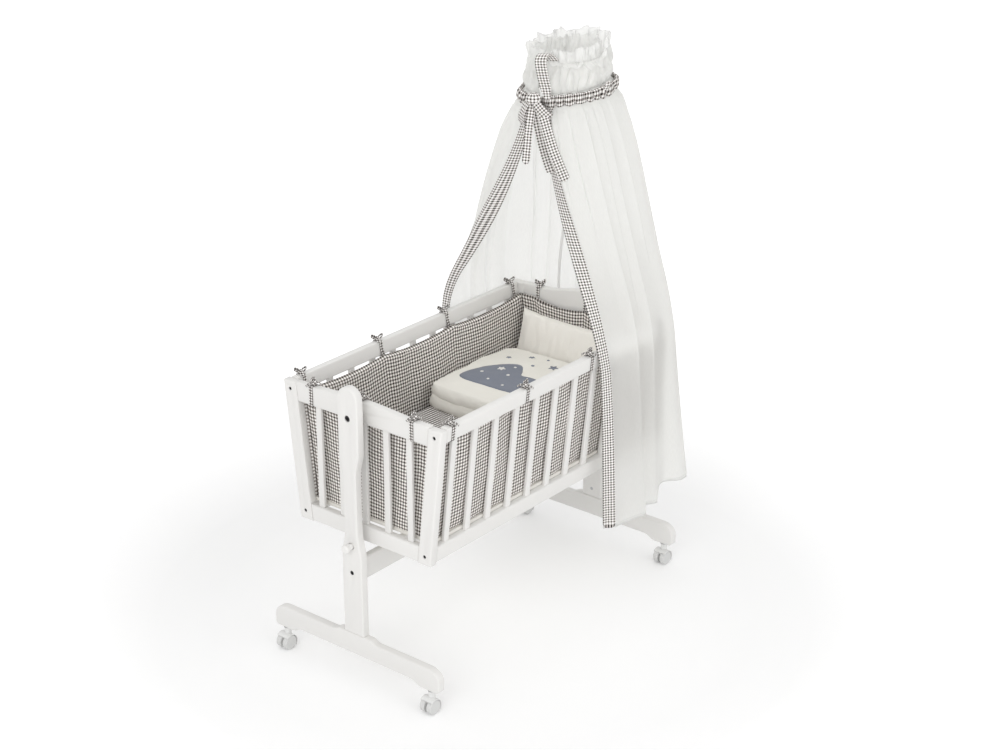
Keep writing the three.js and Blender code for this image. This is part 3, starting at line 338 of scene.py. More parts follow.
def addSky(strength):
    # White where it is seen, softer where it lights the scene
    world = bpy.data.worlds.new("studio")
    bpy.context.scene.world = world
    world.use_nodes = True
    tree = world.node_tree
    light, white = tree.nodes["Background"], tree.nodes.new("ShaderNodeBackground")
    for background, level in ((light, strength), (white, 1)):
        background.inputs["Color"].default_value = (1, 1, 1, 1)
        background.inputs["Strength"].default_value = level
    rays = tree.nodes.new("ShaderNodeLightPath").outputs
    seen = tree.nodes.new("ShaderNodeMath")
    seen.operation = "MAXIMUM"
    mix = tree.nodes.new("ShaderNodeMixShader")
    links = (
        (rays["Is Camera Ray"], seen.inputs[0]), (rays["Is Transmission Ray"], seen.inputs[1]),
        (seen.outputs[0], mix.inputs[0]), (light.outputs[0], mix.inputs[1]),
        (white.outputs[0], mix.inputs[2]), (mix.outputs[0], tree.nodes["World Output"].inputs["Surface"]),
    )
    for output, target in links:
        tree.links.new(output, target)


def addLamps(values):
    for name, lamp in values["lamps"].items():
        light = bpy.data.lights.new(name, "AREA")
        light.size = lamp["size"]
        light.energy = lamp["watts"]
        aimed(name, light, lamp["at"], values["aim"])


addFloor(floorValues)
addSky(lightValues["sky"])
addLamps(lightValues)
print("camera, floor and lights set")


# Modelling helpers

def activate(piece):
    bpy.ops.object.select_all(action="DESELECT")
    piece.select_set(True)
    bpy.context.view_layer.objects.active = piece


def applyModifier(piece, kind, **settings):
    activate(piece)
    modifier = piece.modifiers.new(kind.title(), kind)
    for name, value in settings.items():
        setattr(modifier, name, value)
    bpy.ops.object.modifier_apply(modifier=modifier.name)


def editMesh(piece, *steps):
    # Runs mesh operators on all of a piece
    activate(piece)
    bpy.ops.object.mode_set(mode="EDIT")
    bpy.ops.mesh.select_all(action="SELECT")
    for operator, settings in steps:
        operator(**settings)
    bpy.ops.object.mode_set(mode="OBJECT")


outwardNormals = (bpy.ops.mesh.normals_make_consistent, {"inside": False})


def smooth(piece, degrees):
    activate(piece)
    bpy.ops.object.shade_smooth_by_angle(angle=math.radians(degrees))


def settle(piece, name):
    # Puts the place of a new primitive into its mesh
    activate(piece)
    bpy.ops.object.transform_apply(location=True, rotation=True, scale=True)
    piece.name = name
    return piece


def cylinder(name, vertices, radius, length, centre):
    # Lies along X
    bpy.ops.mesh.primitive_cylinder_add(
        vertices=vertices, radius=radius, depth=length, location=centre, rotation=(0, math.pi / 2, 0))
    return settle(bpy.context.object, name)


def ball(name, centre, size, cloth, segments, turn=0):
    # A knot of cloth, with the size of the cloth round it as its UV map
    bpy.ops.mesh.primitive_uv_sphere_add(
        segments=segments[0], ring_count=segments[1], radius=1, location=centre, rotation=(0, 0, turn))
    bpy.context.object.scale = size
    piece = settle(bpy.context.object, name)
    layer = piece.data.uv_layers.active
    for loop in layer.data:
        loop.uv = (loop.uv.x * cloth[0], loop.uv.y * cloth[1])
    layer.name = "flat"
    smooth(piece, 60)
    return piece


def dress(piece, finish, slot=None, nodes=(), body="cradle"):
    piece.data.materials.clear()
    piece.data.materials.append(finishes[finish])
    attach(piece, body)
    slot or finish
    if nodes:
        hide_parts(*nodes)
    return piece


def joined(pieces, name):
    bpy.ops.object.select_all(action="DESELECT")
    for piece in pieces:
        piece.select_set(True)
    bpy.context.view_layer.objects.active = pieces[0]
    bpy.ops.object.join()
    pieces[0].name = name
    return pieces[0]


def gridPiece(name, rows, flat, around=False):
    # A surface from rows of points, with its flat places as the UV map. Around joins the ends of each row.
    mesh = bpy.data.meshes.new(name)
    width = len(rows[0])
    faces, corners = [], []
    for i in range(len(rows) - 1):
        for j in range(width if around else width - 1):
            after = (j + 1) % width
            faces.append((i * width + j, i * width + after, (i + 1) * width + after, (i + 1) * width + j))
            corners.append(((i, j), (i, j + 1), (i + 1, j + 1), (i + 1, j)))
    mesh.from_pydata([tuple(point) for row in rows for point in row], [], faces)
    layer = mesh.uv_layers.new(name="flat")
    for face, places in zip(mesh.polygons, corners):
        for loop, (i, j) in zip(face.loop_indices, places):
            layer.data[loop].uv = flat(i, j)
    mesh.polygons.foreach_set("use_smooth", [True] * len(mesh.polygons))
    mesh.update()
    return linked(name, mesh)


def eased(value):
    value = min(max(value, 0), 1)
    return value * value * (3 - 2 * value)


def mixed(first, second, share):
    return first + (second - first) * share


def rough(x, y, z):
    # Smooth noise at a place
    return noise.noise(Vector((x, y, z)))


def runLengths(points):
    # How far along a line each of its points lies
    lengths = [0]
    for first, second in zip(points, points[1:]):
        lengths.append(lengths[-1] + (second - first).length)
    return lengths


def whereAlong(lengths, length):
    # The point after a length along a line, and the share of the way to it from the point before
    i = min(max(bisect.bisect_left(lengths, length), 1), len(lengths) - 1)
    return i, (length - lengths[i - 1]) / (lengths[i] - lengths[i - 1])


# Wood: the planed edges get a fine rounding

woodValues = {
    "edge": 0.0009, "edgeSteps": 2, "edgeAngle": 22, "flatAngle": 0.6, "smoothAngle": 32, "weld": 0.00002,
}


def finishWood(node, body, slot, values):
    piece = linked(node + "_wood", frame["nodes"][node].data.copy())
    editMesh(piece, (bpy.ops.mesh.remove_doubles, {"threshold": values["weld"]}),
             (bpy.ops.mesh.dissolve_limited, {"angle_limit": math.radians(values["flatAngle"])}))
    applyModifier(piece, "BEVEL", width=values["edge"], segments=values["edgeSteps"], limit_method="ANGLE",
                  angle_limit=math.radians(values["edgeAngle"]), miter_outer="MITER_ARC")
    smooth(piece, values["smoothAngle"])
    dress(piece, slot, nodes=[node], body=body)


nodeSlots = {part["node"]: part["material_slot"] for part in frame["record"]["subparts"]}
nodeBodies = {node: body for body, nodes in frame["record"]["behaviour"]["bodies"].items() for node in nodes}
for node, slot in nodeSlots.items():
    if slot == "white_wood" or node == "base_board":
        finishWood(node, nodeBodies[node], slot, woodValues)
print("wood finished")


# Bolts

boltValues = {
    "headLength": 0.0052, "headEdge": 0.0008, "socketShare": 0.5, "shankEdge": 0.0006,
    "cornerHead": (0.0092, 0.003), "cornerDepth": 0.0034, "cornerHeights": (0.4065, 0.74),
    "cornerPostWidth": 0.042,
}


def socketHead(name, centre, sign, diameter, length, values):
    # A round head with a six-sided socket, facing outwards along X
    head = cylinder(name, 40, diameter / 2, length, centre)
    applyModifier(head, "BEVEL", width=values["headEdge"], segments=2, limit_method="ANGLE")
    mouth = Vector(centre) + Vector((sign * length / 2, 0, 0))
    tool = cylinder(name + "Tool", 6, diameter * values["socketShare"] / 2, length, mouth)
    applyModifier(head, "BOOLEAN", operation="DIFFERENCE", solver="EXACT", object=tool)
    bpy.data.objects.remove(tool)
    smooth(head, 30)
    return head


def replaceBolt(node, finish, values):
    # The shank keeps its plain form, the head gets its socket
    low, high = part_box(node)
    sign = 1 if high.x > 0 else -1
    outer, tip = (high.x, low.x) if sign > 0 else (low.x, high.x)
    diameter, length = high.z - low.z, values["headLength"]
    centre = Vector((outer - sign * length / 2, 0, (low.z + high.z) / 2))
    head = socketHead(node + "_head", centre, sign, diameter, length, values)
    shankLength = high.x - low.x - length
    shankCentre = (tip + sign * shankLength / 2, 0, centre.z)
    shank = cylinder(node + "Shank", 24, diameter / 4, shankLength, shankCentre)
    applyModifier(shank, "BEVEL", width=values["shankEdge"], segments=2, limit_method="ANGLE")
    dress(joined([head, shank], node + "_turned"), finish, nodes=[node], body=nodeBodies[node])


def addCornerBolts(values):
    # Eight bolts whose heads lie in the recesses of the leaning corner posts
    width = values["cornerPostWidth"]
    for end, sign in endSigns:
        heads = []
        for side, direction in sideSigns:
            low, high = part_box(f"{end}_{side}_corner_post")
            slope = (high.y - low.y - width) / (high.z - low.z)
            x = (high.x if sign > 0 else low.x) - sign * values["cornerDepth"]
            topMiddle = (high.y if direction > 0 else low.y) - direction * width / 2
            for z in values["cornerHeights"]:
                name = f"{end}_{side}_corner_bolt_{len(heads) + 1}"
                centre = (x, topMiddle - direction * slope * (high.z - z), z)
                heads.append(socketHead(name, centre, sign, *values["cornerHead"], values))
        dress(joined(heads, f"{end}_corner_bolts"), "black_steel")


# The pivot bolt gets the black finish in place of its own slot's: painted shade, its dark head stands for the
# shade in the recess round the pivot
for node, slot in nodeSlots.items():
    if node.endswith(("pivot_bolt", "stretcher_bolt")):
        replaceBolt(node, "black_steel" if "pivot" in node else slot, boltValues)
addCornerBolts(boltValues)
print("bolts made")


# Nodes that keep their own form get their finish

for node, slot in nodeSlots.items():
    if slot in ("steel", "white_plastic", "caster_plastic", "wheel_plastic", "white_tube"):
        solid = frame["nodes"][node]
        solid.data.materials.clear()
        solid.data.materials.append(finishes[slot])
print("plain nodes finished")


# Cradle's leaning sides

cradleValues = {"bottom": 0.382, "bottomHalfWidth": 0.222, "top": 0.76, "topHalfWidth": 0.264}
cradleHeight = cradleValues["top"] - cradleValues["bottom"]
lean = math.atan2(cradleValues["topHalfWidth"] - cradleValues["bottomHalfWidth"], cradleHeight)


def sidePoint(sign, along, inward, up):
    # A point by its distance in from the outer plane of a leaning side and up that plane
    foot = Vector((along, sign * cradleValues["bottomHalfWidth"], cradleValues["bottom"]))
    upward = Vector((0, sign * math.sin(lean), math.cos(lean)))
    outward = Vector((0, sign * math.cos(lean), -math.sin(lean)))
    return foot + upward * up - outward * inward


clothValues = {"quality": 4, "mass": 0.25, "stiffness": 12, "bending": 0.3, "fullness": 0.03}


def simulateCloth(piece, values):
    # Blows the closed cloth up a little, with more cloth than room, so that it puckers
    before = [vertex.co.copy() for vertex in piece.data.vertices]
    activate(piece)
    cloth = piece.modifiers.new("Cloth", "CLOTH")
    settings = cloth.settings
    settings.quality = clothValues["quality"]
    settings.mass = clothValues["mass"]
    settings.tension_stiffness = settings.compression_stiffness = clothValues["stiffness"]
    settings.bending_stiffness = clothValues["bending"]
    settings.use_pressure = True
    settings.uniform_pressure_force = values["pressure"]
    settings.shrink_min = -clothValues["fullness"]
    settings.effector_weights.gravity = 0
    cloth.collision_settings.use_collision = False
    cloth.point_cache.frame_start, cloth.point_cache.frame_end = 1, values["frames"]
    for step in range(1, values["frames"] + 1):
        bpy.context.scene.frame_set(step)
    bpy.ops.object.modifier_apply(modifier=cloth.name)
    bpy.context.scene.frame_set(1)
    for vertex, start in zip(piece.data.vertices, before):
        move = vertex.co - start
        if move.length > values["cap"]:
            vertex.co = start + move * (values["cap"] / move.length)


def paddedPiece(name, place, size, columns, rows, thickness, edge):
    # A closed pad: two faces that meet at a seam. place(across, up, out) gives a point in the room.
    width, height = size

    def depth(i, j):
        across, up = j / columns, i / rows
        border = min(across * width, (1 - across) * width, up * height, (1 - up) * height)
        return thickness / 2 * math.sqrt(1 - (1 - min(border / edge, 1)) ** 2)

    mesh = bmesh.new()
    layer = mesh.loops.layers.uv.new("flat")
    points = {}
    for side in (1, -1):
        for i in range(rows + 1):
            for j in range(columns + 1):
                rim = i in (0, rows) or j in (0, columns)
                if rim and side < 0:
                    points[side, i, j] = points[1, i, j]
                    continue
                out = 0 if rim else side * depth(i, j)
                points[side, i, j] = mesh.verts.new(place(j / columns, i / rows, out))
        for i in range(rows):
            for j in range(columns):
                ring = [(i, j), (i, j + 1), (i + 1, j + 1), (i + 1, j)][::side]
                face = mesh.faces.new([points[side, a, b] for a, b in ring])
                face.smooth = True
                for loop, (a, b) in zip(face.loops, ring):
                    loop[layer].uv = (b / columns * width, a / rows * height)
    data = bpy.data.meshes.new(name)
    mesh.normal_update()
    mesh.to_mesh(data)
    mesh.free()
    piece = linked(name, data)
    editMesh(piece, outwardNormals)
    return piece


# Bumper panels, pulled up at their ties and hanging lower between them

bumperValues = {
    "thickness": 0.013, "edge": 0.011, "column": 0.006, "rows": 44, "inward": 0.0328, "sideGap": 0.0015,
    "endGap": 0.001, "reach": 0.008, "rise": 0.006, "ripple": 0.003, "rippleDepth": 0.004,
    "sideTies": (-0.425, -0.135, 0.135, 0.425), "sideDip": 0.009,
    "endTies": (-0.168, 0, 0.168), "endDip": 0.011,
    "cloth": {"pressure": 3, "frames": 14, "cap": 0.0045},
}


def topEdge(place, ties, dip):
    # How far the top edge hangs below the height that it has at a tie
    below = [tie for tie in ties if tie <= place]
    above = [tie for tie in ties if tie > place]
    if not below or not above:
        return dip * 0.15       # past the last tie
    low, high = below[-1], above[0]
    share = (place - low) / (high - low)
    return dip * (4 * share * (1 - share)) ** 0.8


def ripples(place, up, values):
    # Upright wrinkles that wander, with some slack across
    wander = rough(place * 3, up * 5, 7.1)
    fine = rough(place * 30, up * 6 + wander, 1.7)
    broad = rough(place * 9, up * 8, 4.2)
    return values["ripple"] * (fine + 1.4 * broad)


def addBumper(node, ends, ties, dip, placeOf, values):
    # ends(up) gives the two ends of the panel at a height, placeOf(along, z, out) a point of the panel
    low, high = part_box(node)
    bottom = low.z - values["reach"]
    length = ends(1)[1] - ends(1)[0]

    def place(across, up, out):
        along = mixed(*ends(up), across)
        z = mixed(bottom, high.z + values["rise"] - topEdge(along, ties, dip), up)
        share = max(-1, min(1, out / values["rippleDepth"]))
        return placeOf(along, z, out + ripples(along, z, values) * share)

    piece = paddedPiece(node + "_pad", place, (length, high.z - bottom), int(length / values["column"]),
                        values["rows"], values["thickness"], values["edge"])
    simulateCloth(piece, values["cloth"])
    return dress(piece, "gingham", nodes=[node])


def addSideBumper(side, sign, values):
    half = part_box(side + "_bumper")[1].x - values["sideGap"]
    inward = values["inward"]

    def placeOf(along, z, out):
        up = (z - cradleValues["bottom"] - inward * math.sin(lean)) / math.cos(lean)
        return sidePoint(sign, along, inward - out, up)

    return addBumper(side + "_bumper", lambda up: (-half, half), values["sideTies"], values["sideDip"],
                     placeOf, values)


def addEndBumper(end, sign, values):
    low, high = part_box(end + "_bumper")
    middle = (low.x + high.x) / 2

    def placeOf(along, z, out):
        return Vector((middle + sign * out, along, z))

    def span(up):
        reach = high.y - values["endGap"] - (1 - up) * (high.z - low.z) * math.tan(lean)
        return -reach, reach

    return addBumper(end + "_bumper", span, values["endTies"], values["endDip"], placeOf, values)


bumpers = {side: addSideBumper(side, sign, bumperValues) for side, sign in sideSigns}
bumpers.update({end: addEndBumper(end, sign, bumperValues) for end, sign in endSigns})
print("bumpers made")


# Ribbons

def ribbon(name, points, sides, widths):
    # A flat strip along points, each with the direction across it and its width
    lengths = runLengths(points)
    across, thickness = 6, 0.0009
    rows = []
    for point, side, width in zip(points, sides, widths):
        rows.append([point + side * width * (k / across - 0.5) for k in range(across + 1)])
    piece = gridPiece(name, rows, lambda i, j: ((j / across - 0.5) * widths[i], lengths[i]))
    applyModifier(piece, "SOLIDIFY", thickness=thickness, offset=0)
    return piece


def curvePoints(controls, count):
    # Points on a smooth curve through the controls
    points = [Vector(control) for control in controls]
    padded = [2 * points[0] - points[1], *points, 2 * points[-1] - points[-2]]
    made = []
    for i in range(count + 1):
        place = i / count * (len(points) - 1)
        k = min(int(place), len(points) - 2)
        t = place - k
        a, b, c, d = padded[k:k + 4]
        made.append(0.5 * ((2 * b) + (c - a) * t + (2 * a - 5 * b + 4 * c - d) * t ** 2
                           + (3 * b - a - 3 * c + d) * t ** 3))
    return made


tieValues = {
    "width": 0.0115, "clearance": 0.0012, "bend": 0.003, "overlap": 0.004, "knot": 0.0062, "knotLift": 0.005,
    "loop": (0.018, 0.0115), "loopWay": (0.55, 0.75, 0.5),
    "tail": 0.021, "tailWidth": 0.01035, "tailWay": (0.8, -0.5, -0.15), "tailArch": 0.003, "tailDrop": 0.002,
    "railHeight": 0.04, "railThickness": 0.022, "railInset": 0.003, "endRailTop": 0.763,
    "endArch": {"foot_end": 0.4, "head_end": 0.31},
}


def bowLoop(name, root, along, out, up, length, width):
    # A loop of ribbon from the knot out along one direction and back
    count = 26
    points, sides, widths = [], [], []
    for i in range(count + 1):
        turn = 2 * math.pi * i / count
        reach = length * (1 - math.cos(turn)) / 2
        points.append(root + along * reach + out * (length * 0.22 * math.sin(turn)))
        sides.append(up)
        widths.append(width * (0.45 + 0.55 * math.sin(turn / 2)))
    return ribbon(name, points, sides, widths)


def towards(axes, shares):
    # A direction by its shares of three axes
    return sum((axis * share for axis, share in zip(axes, shares)), Vector()).normalized()


def addTie(name, frameAt, rail, along, values):
    # frameAt(inward, up) gives a point in the plane across the rail
    thickness, bottom, crest = rail
    gap, bend, overlap = values["clearance"], values["bend"], values["overlap"]
    inner, outer, low, top = thickness + gap, -gap, bottom - gap, crest + gap
    middle = (low + top) / 2
    ring = ((inner + overlap, low + overlap), (inner, middle), (inner, top - bend), (inner - bend, top),
            (outer + bend, top), (outer, top - bend), (outer, middle), (outer, low + bend),
            (outer + bend, low), (inner - bend, low), (inner + overlap, low + overlap))
    points = [frameAt(*place) for place in ring]
    knot = frameAt(thickness / 2, top + values["knotLift"])
    pieces = [
        ribbon(name, points, [along] * len(points), [values["width"]] * len(points)),
        ball(name + "Knot", knot, [values["knot"]] * 3, [4 * values["knot"]] * 2, (16, 8)),
    ]
    upward = (frameAt(0, 1) - frameAt(0, 0)).normalized()
    inward = (frameAt(1, 0) - frameAt(0, 0)).normalized()
    for turn in (-1, 1):
        axes = (inward * turn, along * turn, upward)
        reach = towards(axes, values["loopWay"])
        sideways = reach.cross(upward).normalized()
        bulge = (upward - sideways * turn).normalized()
        across = (sideways + upward * turn).normalized()
        pieces.append(bowLoop(f"{name}Loop{turn}", knot, reach, bulge, across, *values["loop"]))
        hang = towards(axes, values["tailWay"])
        tail = curvePoints([knot, knot + hang * values["tail"] * 0.5 + upward * values["tailArch"],
                            knot + hang * values["tail"] - upward * values["tailDrop"]], 8)
        sides, widths = [hang.cross(upward).normalized()] * len(tail), [values["tailWidth"]] * len(tail)
        pieces.append(ribbon(f"{name}Tail{turn}", tail, sides, widths))
    return dress(joined(pieces, name), "tie", "gingham")


def addTies(values):
    crest = cradleHeight / math.cos(lean)
    sideRail = (values["railThickness"], crest - values["railHeight"], crest)
    for side, sign in sideSigns:
        made = []
        for number, place in enumerate(bumperValues["sideTies"]):
            frameAt = lambda inward, up: sidePoint(sign, place, values["railInset"] + inward, up)
            made.append(addTie(f"{side}_tie_{number + 1}", frameAt, sideRail, Vector((1, 0, 0)), values))
        joined(made, side + "_ties").parent = bumpers[side]
    for end, sign in endSigns:
        low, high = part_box(end + "_top_rail")
        outer = low.x if sign < 0 else high.x
        span = values["endArch"][end]
        made = []
        for number, place in enumerate(bumperValues["endTies"]):
            arch = math.cos(math.pi * place / span) ** 2 if abs(place) < span / 2 else 0
            endRail = (high.x - low.x, low.z, mixed(values["endRailTop"], high.z, arch))
            frameAt = lambda inward, up: Vector((outer - sign * inward, place, up))
            made.append(addTie(f"{end}_tie_{number + 1}", frameAt, endRail, Vector((0, 1, 0)), values))
        joined(made, end + "_ties").parent = bumpers[end]


addTies(tieValues)
print("ties made")


# Mattress, pillow and quilt

mattressValues = {"edge": 0.02, "inset": 0.001, "wrinkle": 0.0012, "columns": 150, "rows": 66}


def addMattress(values):
    low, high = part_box("mattress")
    middle, inset = (low.z + high.z) / 2, values["inset"]

    def place(across, up, out):
        x = mixed(low.x + inset, high.x - inset, across)
        y = mixed(low.y + inset, high.y - inset, up)
        wrinkle = values["wrinkle"] * rough(x * 7, y * 9, 3.3) if out > 0 else 0
        return Vector((x, y, middle + out + wrinkle))

    piece = paddedPiece("mattress_sheet", place, (high.x - low.x, high.y - low.y), values["columns"],
                        values["rows"], high.z - low.z, values["edge"])
    dress(piece, "gingham_sheet", nodes=["mattress"])


pillowValues = {
    "width": 0.388, "height": 0.158, "thickness": 0.0288, "edge": 0.055, "tilt": 19,
    "wrinkle": 0.003, "wrinkleDepth": 0.006, "drawUp": 0.03, "drawAcross": 0.02, "columns": 110, "rows": 46,
    "cloth": {"pressure": 5, "frames": 16, "cap": 0.007},
}


def addPillow(values):
    low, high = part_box("pillow")
    middle = (low + high) / 2
    tilt = math.radians(values["tilt"])
    upward = Vector((math.sin(tilt), 0, math.cos(tilt)))
    outward = Vector((-math.cos(tilt), 0, math.sin(tilt)))

    def place(across, up, out):
        # The long edges and the ends are drawn in between the corners
        draw = 1 - values["drawUp"] * math.sin(math.pi * across) * abs(2 * up - 1) ** 3
        pull = 1 - values["drawAcross"] * math.sin(math.pi * up) * abs(2 * across - 1) ** 3
        y = (0.5 - across) * values["width"] * pull
        z = (up - 0.5) * values["height"] * draw
        wrinkle = rough(y * 55, z * 14, 2.2) + 0.6 * rough(y * 20, z * 22, 6.1)
        puckered = out + values["wrinkle"] * wrinkle * max(-1, min(1, out / values["wrinkleDepth"]))
        return middle + Vector((0, y, 0)) + upward * z + outward * puckered

    piece = paddedPiece("pillow_case", place, (values["width"], values["height"]), values["columns"],
                        values["rows"], values["thickness"], values["edge"])
    simulateCloth(piece, values["cloth"])
    applyModifier(piece, "SUBSURF", levels=1, render_levels=1)
    dress(piece, "pillow", "cream_quilting", ["pillow"])


quiltValues = {
    "edge": 0.024, "corner": 0.085, "dent": 0.0026, "sag": 0.004, "inset": 0.004, "pressed": 0.96,
    "fill": 0.94, "steps": 80, "cloth": {"pressure": 4, "frames": 16, "cap": 0.008},
}


def addQuilt(values):
    # Two layers, the upper one a little smaller
    low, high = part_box("quilt")
    thickness = (high.z - low.z) / 2
    layers = []
    for number in range(2):
        middle = low.z + number * thickness * values["pressed"] + thickness / 2
        inset = values["inset"] * (1 + number)

        def place(across, up, out):
            u, v = 2 * across - 1, 2 * up - 1
            drawn = [(1 + a * (1 - values["corner"] * a ** 2 * b ** 4)) / 2 for a, b in ((u, v), (v, u))]
            x = mixed(low.x + inset, high.x - inset, drawn[0])
            y = mixed(low.y + inset, high.y - inset, drawn[1])
            sag = values["sag"] * math.sin(math.pi * across) * math.sin(math.pi * up)
            puff = values["dent"] * (rough(x * 12, y * 12, number * 5) + 0.5 * rough(x * 45, y * 30, 8))
            return Vector((x, y, middle + out + (sag + puff if out > 0 else 0)))

        size = (high.x - low.x - 2 * inset, high.y - low.y - 2 * inset)
        layers.append(paddedPiece(f"quiltLayer{number}", place, size, values["steps"], values["steps"],
                                  thickness * values["fill"], values["edge"]))
        simulateCloth(layers[-1], values["cloth"])
    piece = joined(layers, "quilt_folded")
    applyModifier(piece, "SUBSURF", levels=1, render_levels=1)
    return dress(piece, "cream_quilting", nodes=["quilt"])


addMattress(mattressValues)
addPillow(pillowValues)
quilt = addQuilt(quiltValues)
print("bedding made")


# Patches on the quilt: a hill with a few stars and dots, in millimetres on the bed

patchValues = {
    "lift": 0.0012, "thickness": 0.0011, "rings": 12, "edgeDrop": 0.0007, "raised": {"slate": 1, "pale": 1.7},
    "hill": ((62, -58), (59, 0), (60, 60), (62, 118), (80, 146), (130, 142), (185, 114), (222, 76), (226, 46),
             (196, 20), (172, 4), (178, -22), (170, -54), (130, -76), (84, -76)),
    "Star": {"slate": ((272, -28, 15), (296, 66, 10), (258, 118, 8)),
             "pale": ((176, 78, 13), (122, -36, 10))},
    "Dot": {"slate": ((246, 24, 5), (240, -92, 5), (308, 18, 4)),
            "pale": ((128, 108, 5), (98, 62, 4), (150, 34, 5), (88, 4, 4), (204, 52, 4))},
}


def outlineOf(kind, centre, radius):
    # A round dot, or a star of five points with soft tips
    count = {"Star": 60, "Dot": 24}[kind]
    points = []
    for k in range(count):
        turn = 2 * math.pi * k / count
        tip = abs(k * 5 / count % 1 * 2 - 1)
        reach = radius * (mixed(0.46, 1, tip ** 1.4) if kind == "Star" else 1)
        points.append((centre[0] + reach * math.cos(turn), centre[1] + reach * math.sin(turn)))
    return points


def addPatch(name, outline, lift, tree, values):
    # Lays a flat shape on the quilt
    centre = Vector((sum(x for x, _ in outline), sum(y for _, y in outline))) / len(outline)
    rows, rings = [], values["rings"]
    for k in range(rings + 1):
        row = []
        for x, y in outline:
            place = centre.lerp(Vector((x, y)), k / rings) * 0.001
            hit = tree.ray_cast(Vector((place.x, place.y, 0.8)), Vector((0, 0, -1)))[0]
            row.append(hit + Vector((0, 0, lift - values["edgeDrop"] * (k == rings))))
        rows.append(row)
    patch = gridPiece(name, rows, lambda i, j: rows[i][j % len(outline)].xy, around=True)
    editMesh(patch, (bpy.ops.mesh.remove_doubles, {"threshold": 0.00001}), outwardNormals)
    applyModifier(patch, "SOLIDIFY", thickness=values["thickness"], offset=-1)
    return patch


def addPatches(values):
    tree = BVHTree.FromPolygons([vertex.co for vertex in quilt.data.vertices],
                                [polygon.vertices for polygon in quilt.data.polygons])
    corners = [(*place, 0) for place in values["hill"] + values["hill"][:1]]
    hill = [point.xy for point in curvePoints(corners, 90)[:-1]]
    made = {"slate": [addPatch("hillPatch", hill, values["lift"], tree, values)], "pale": []}
    for tone, patches in made.items():
        lift = values["lift"] * values["raised"][tone]
        for kind in ("Star", "Dot"):
            for number, (x, y, radius) in enumerate(values[kind][tone]):
                outline = outlineOf(kind, (x, y), radius)
                patches.append(addPatch(f"{tone}{kind}{number}", outline, lift, tree, values))
        dress(joined(patches, f"quilt_{tone}_patches"), tone, "cream_quilting").parent = quilt


addPatches(patchValues)
print("quilt patches laid")


# Canopy: one sheet that hangs from the hoop round the head end

canopyValues = {
    "hoop": (0.404, 0.035, 1.374), "slope": 0.13, "slopeAngle": -51, "opening": 5, "hang": 0.1236,
    "thickness": 0.0008, "clothWidth": 1.5,
    "hem": 0.235, "shoulder": 0.795, "shoulderBend": 0.16, "cornerBend": 0.024, "clear": 0.0072,
    "shoulderFront": 0.14, "hemFront": 0.196, "frontWidth": 0.12, "frontSag": 0.16,
    "hemDrawIn": 0.01, "hemSpread": 0.008, "hemFlare": 0.05,
    "foldHem": 0.038, "foldShoulder": 0.006, "foldHoop": 0.003,
    "folds": ((0, 0), (0.03, 0.6), (0.12, 1), (0.15, 0), (0.185, 0.5), (0.235, 0), (0.3, 1), (0.36, 0),
              (0.42, 0.8), (0.46, 0), (0.5, 0.7)),
    "swell": 0.014, "swellStart": 0.08, "frontSwell": 0.028, "frontSwellWidth": 0.2,
    "leftStart": 0.6, "leftEase": 0.2, "leftSwell": 0.7, "leftLower": 0.45,
    "leftFolds": 15, "leftFold": 0.015, "leftFoldSpan": (0.5, 0.9), "leftFoldEase": 0.06,
    "cornerAt": 0.29, "cornerWidth": 0.05, "cornerReach": 0.016,
    "cornerLift": 0.034, "cornerStart": 0.193, "cornerRise": 0.022, "cornerStop": 0.3, "cornerFall": 0.06,
    "gathers": 46, "gatherDepth": 0.004, "gatherStart": 1.82, "wander": 0.004, "bandShare": 0.024,
    "pleats": ((0.05, 0.5, 1.75), (0.088, 0.6, 1.65), (0.131, 1, 0), (0.16, 0.7, 1.35), (0.19, 1, 0),
               (0.24, 0.6, 1.5), (0.3, 0.9, 0), (0.35, 0.8, 1.1), (0.42, 1, 0), (0.47, 0.7, 0.9)),
    "pleatDepth": 0.014, "pleatRise": 0.034, "pleatFall": 0.004, "pleatEnd": 0.3, "pleatHem": 0.25,
    "pleatFull": 1.4, "crowding": 5, "crowdWidth": 0.009,
    "edgeShift": 0.03, "edgeTurn": 0.02, "edgeWidth": 0.026, "edgeOut": 0.03, "edgeOutEase": 0.1,
    "edgeWindow": (1.95, 0.6, 0.8),
    "neck": 0.11, "neckLift": 0.0144, "neckRings": ((0.006, 0.122), (0.011, 0.116)),
    "ruffle": 0.134, "ruffleRadius": 0.106, "rufflePuff": 0.012, "tuckDepth": 0.009, "innerInset": 0.014,
    "radiusWaves": (0.01, 0.012, 0.004), "heightWaves": (0.014, 0.007),
    "flopAt": 0.14, "flopWidth": 0.17, "flopShare": 0.66, "flopDrop": 1.6, "flopReach": 0.034,
    "columns": 340, "dropRows": 40, "coneRows": 56, "ruffleRows": 24, "frillRows": 16,
}


def hoopLevel(x, y, values):
    angle = math.radians(values["slopeAngle"])
    hoopX, hoopY, hoopZ = values["hoop"]
    return hoopZ + values["slope"] * ((x - hoopX) * math.cos(angle) + (y - hoopY) * math.sin(angle))


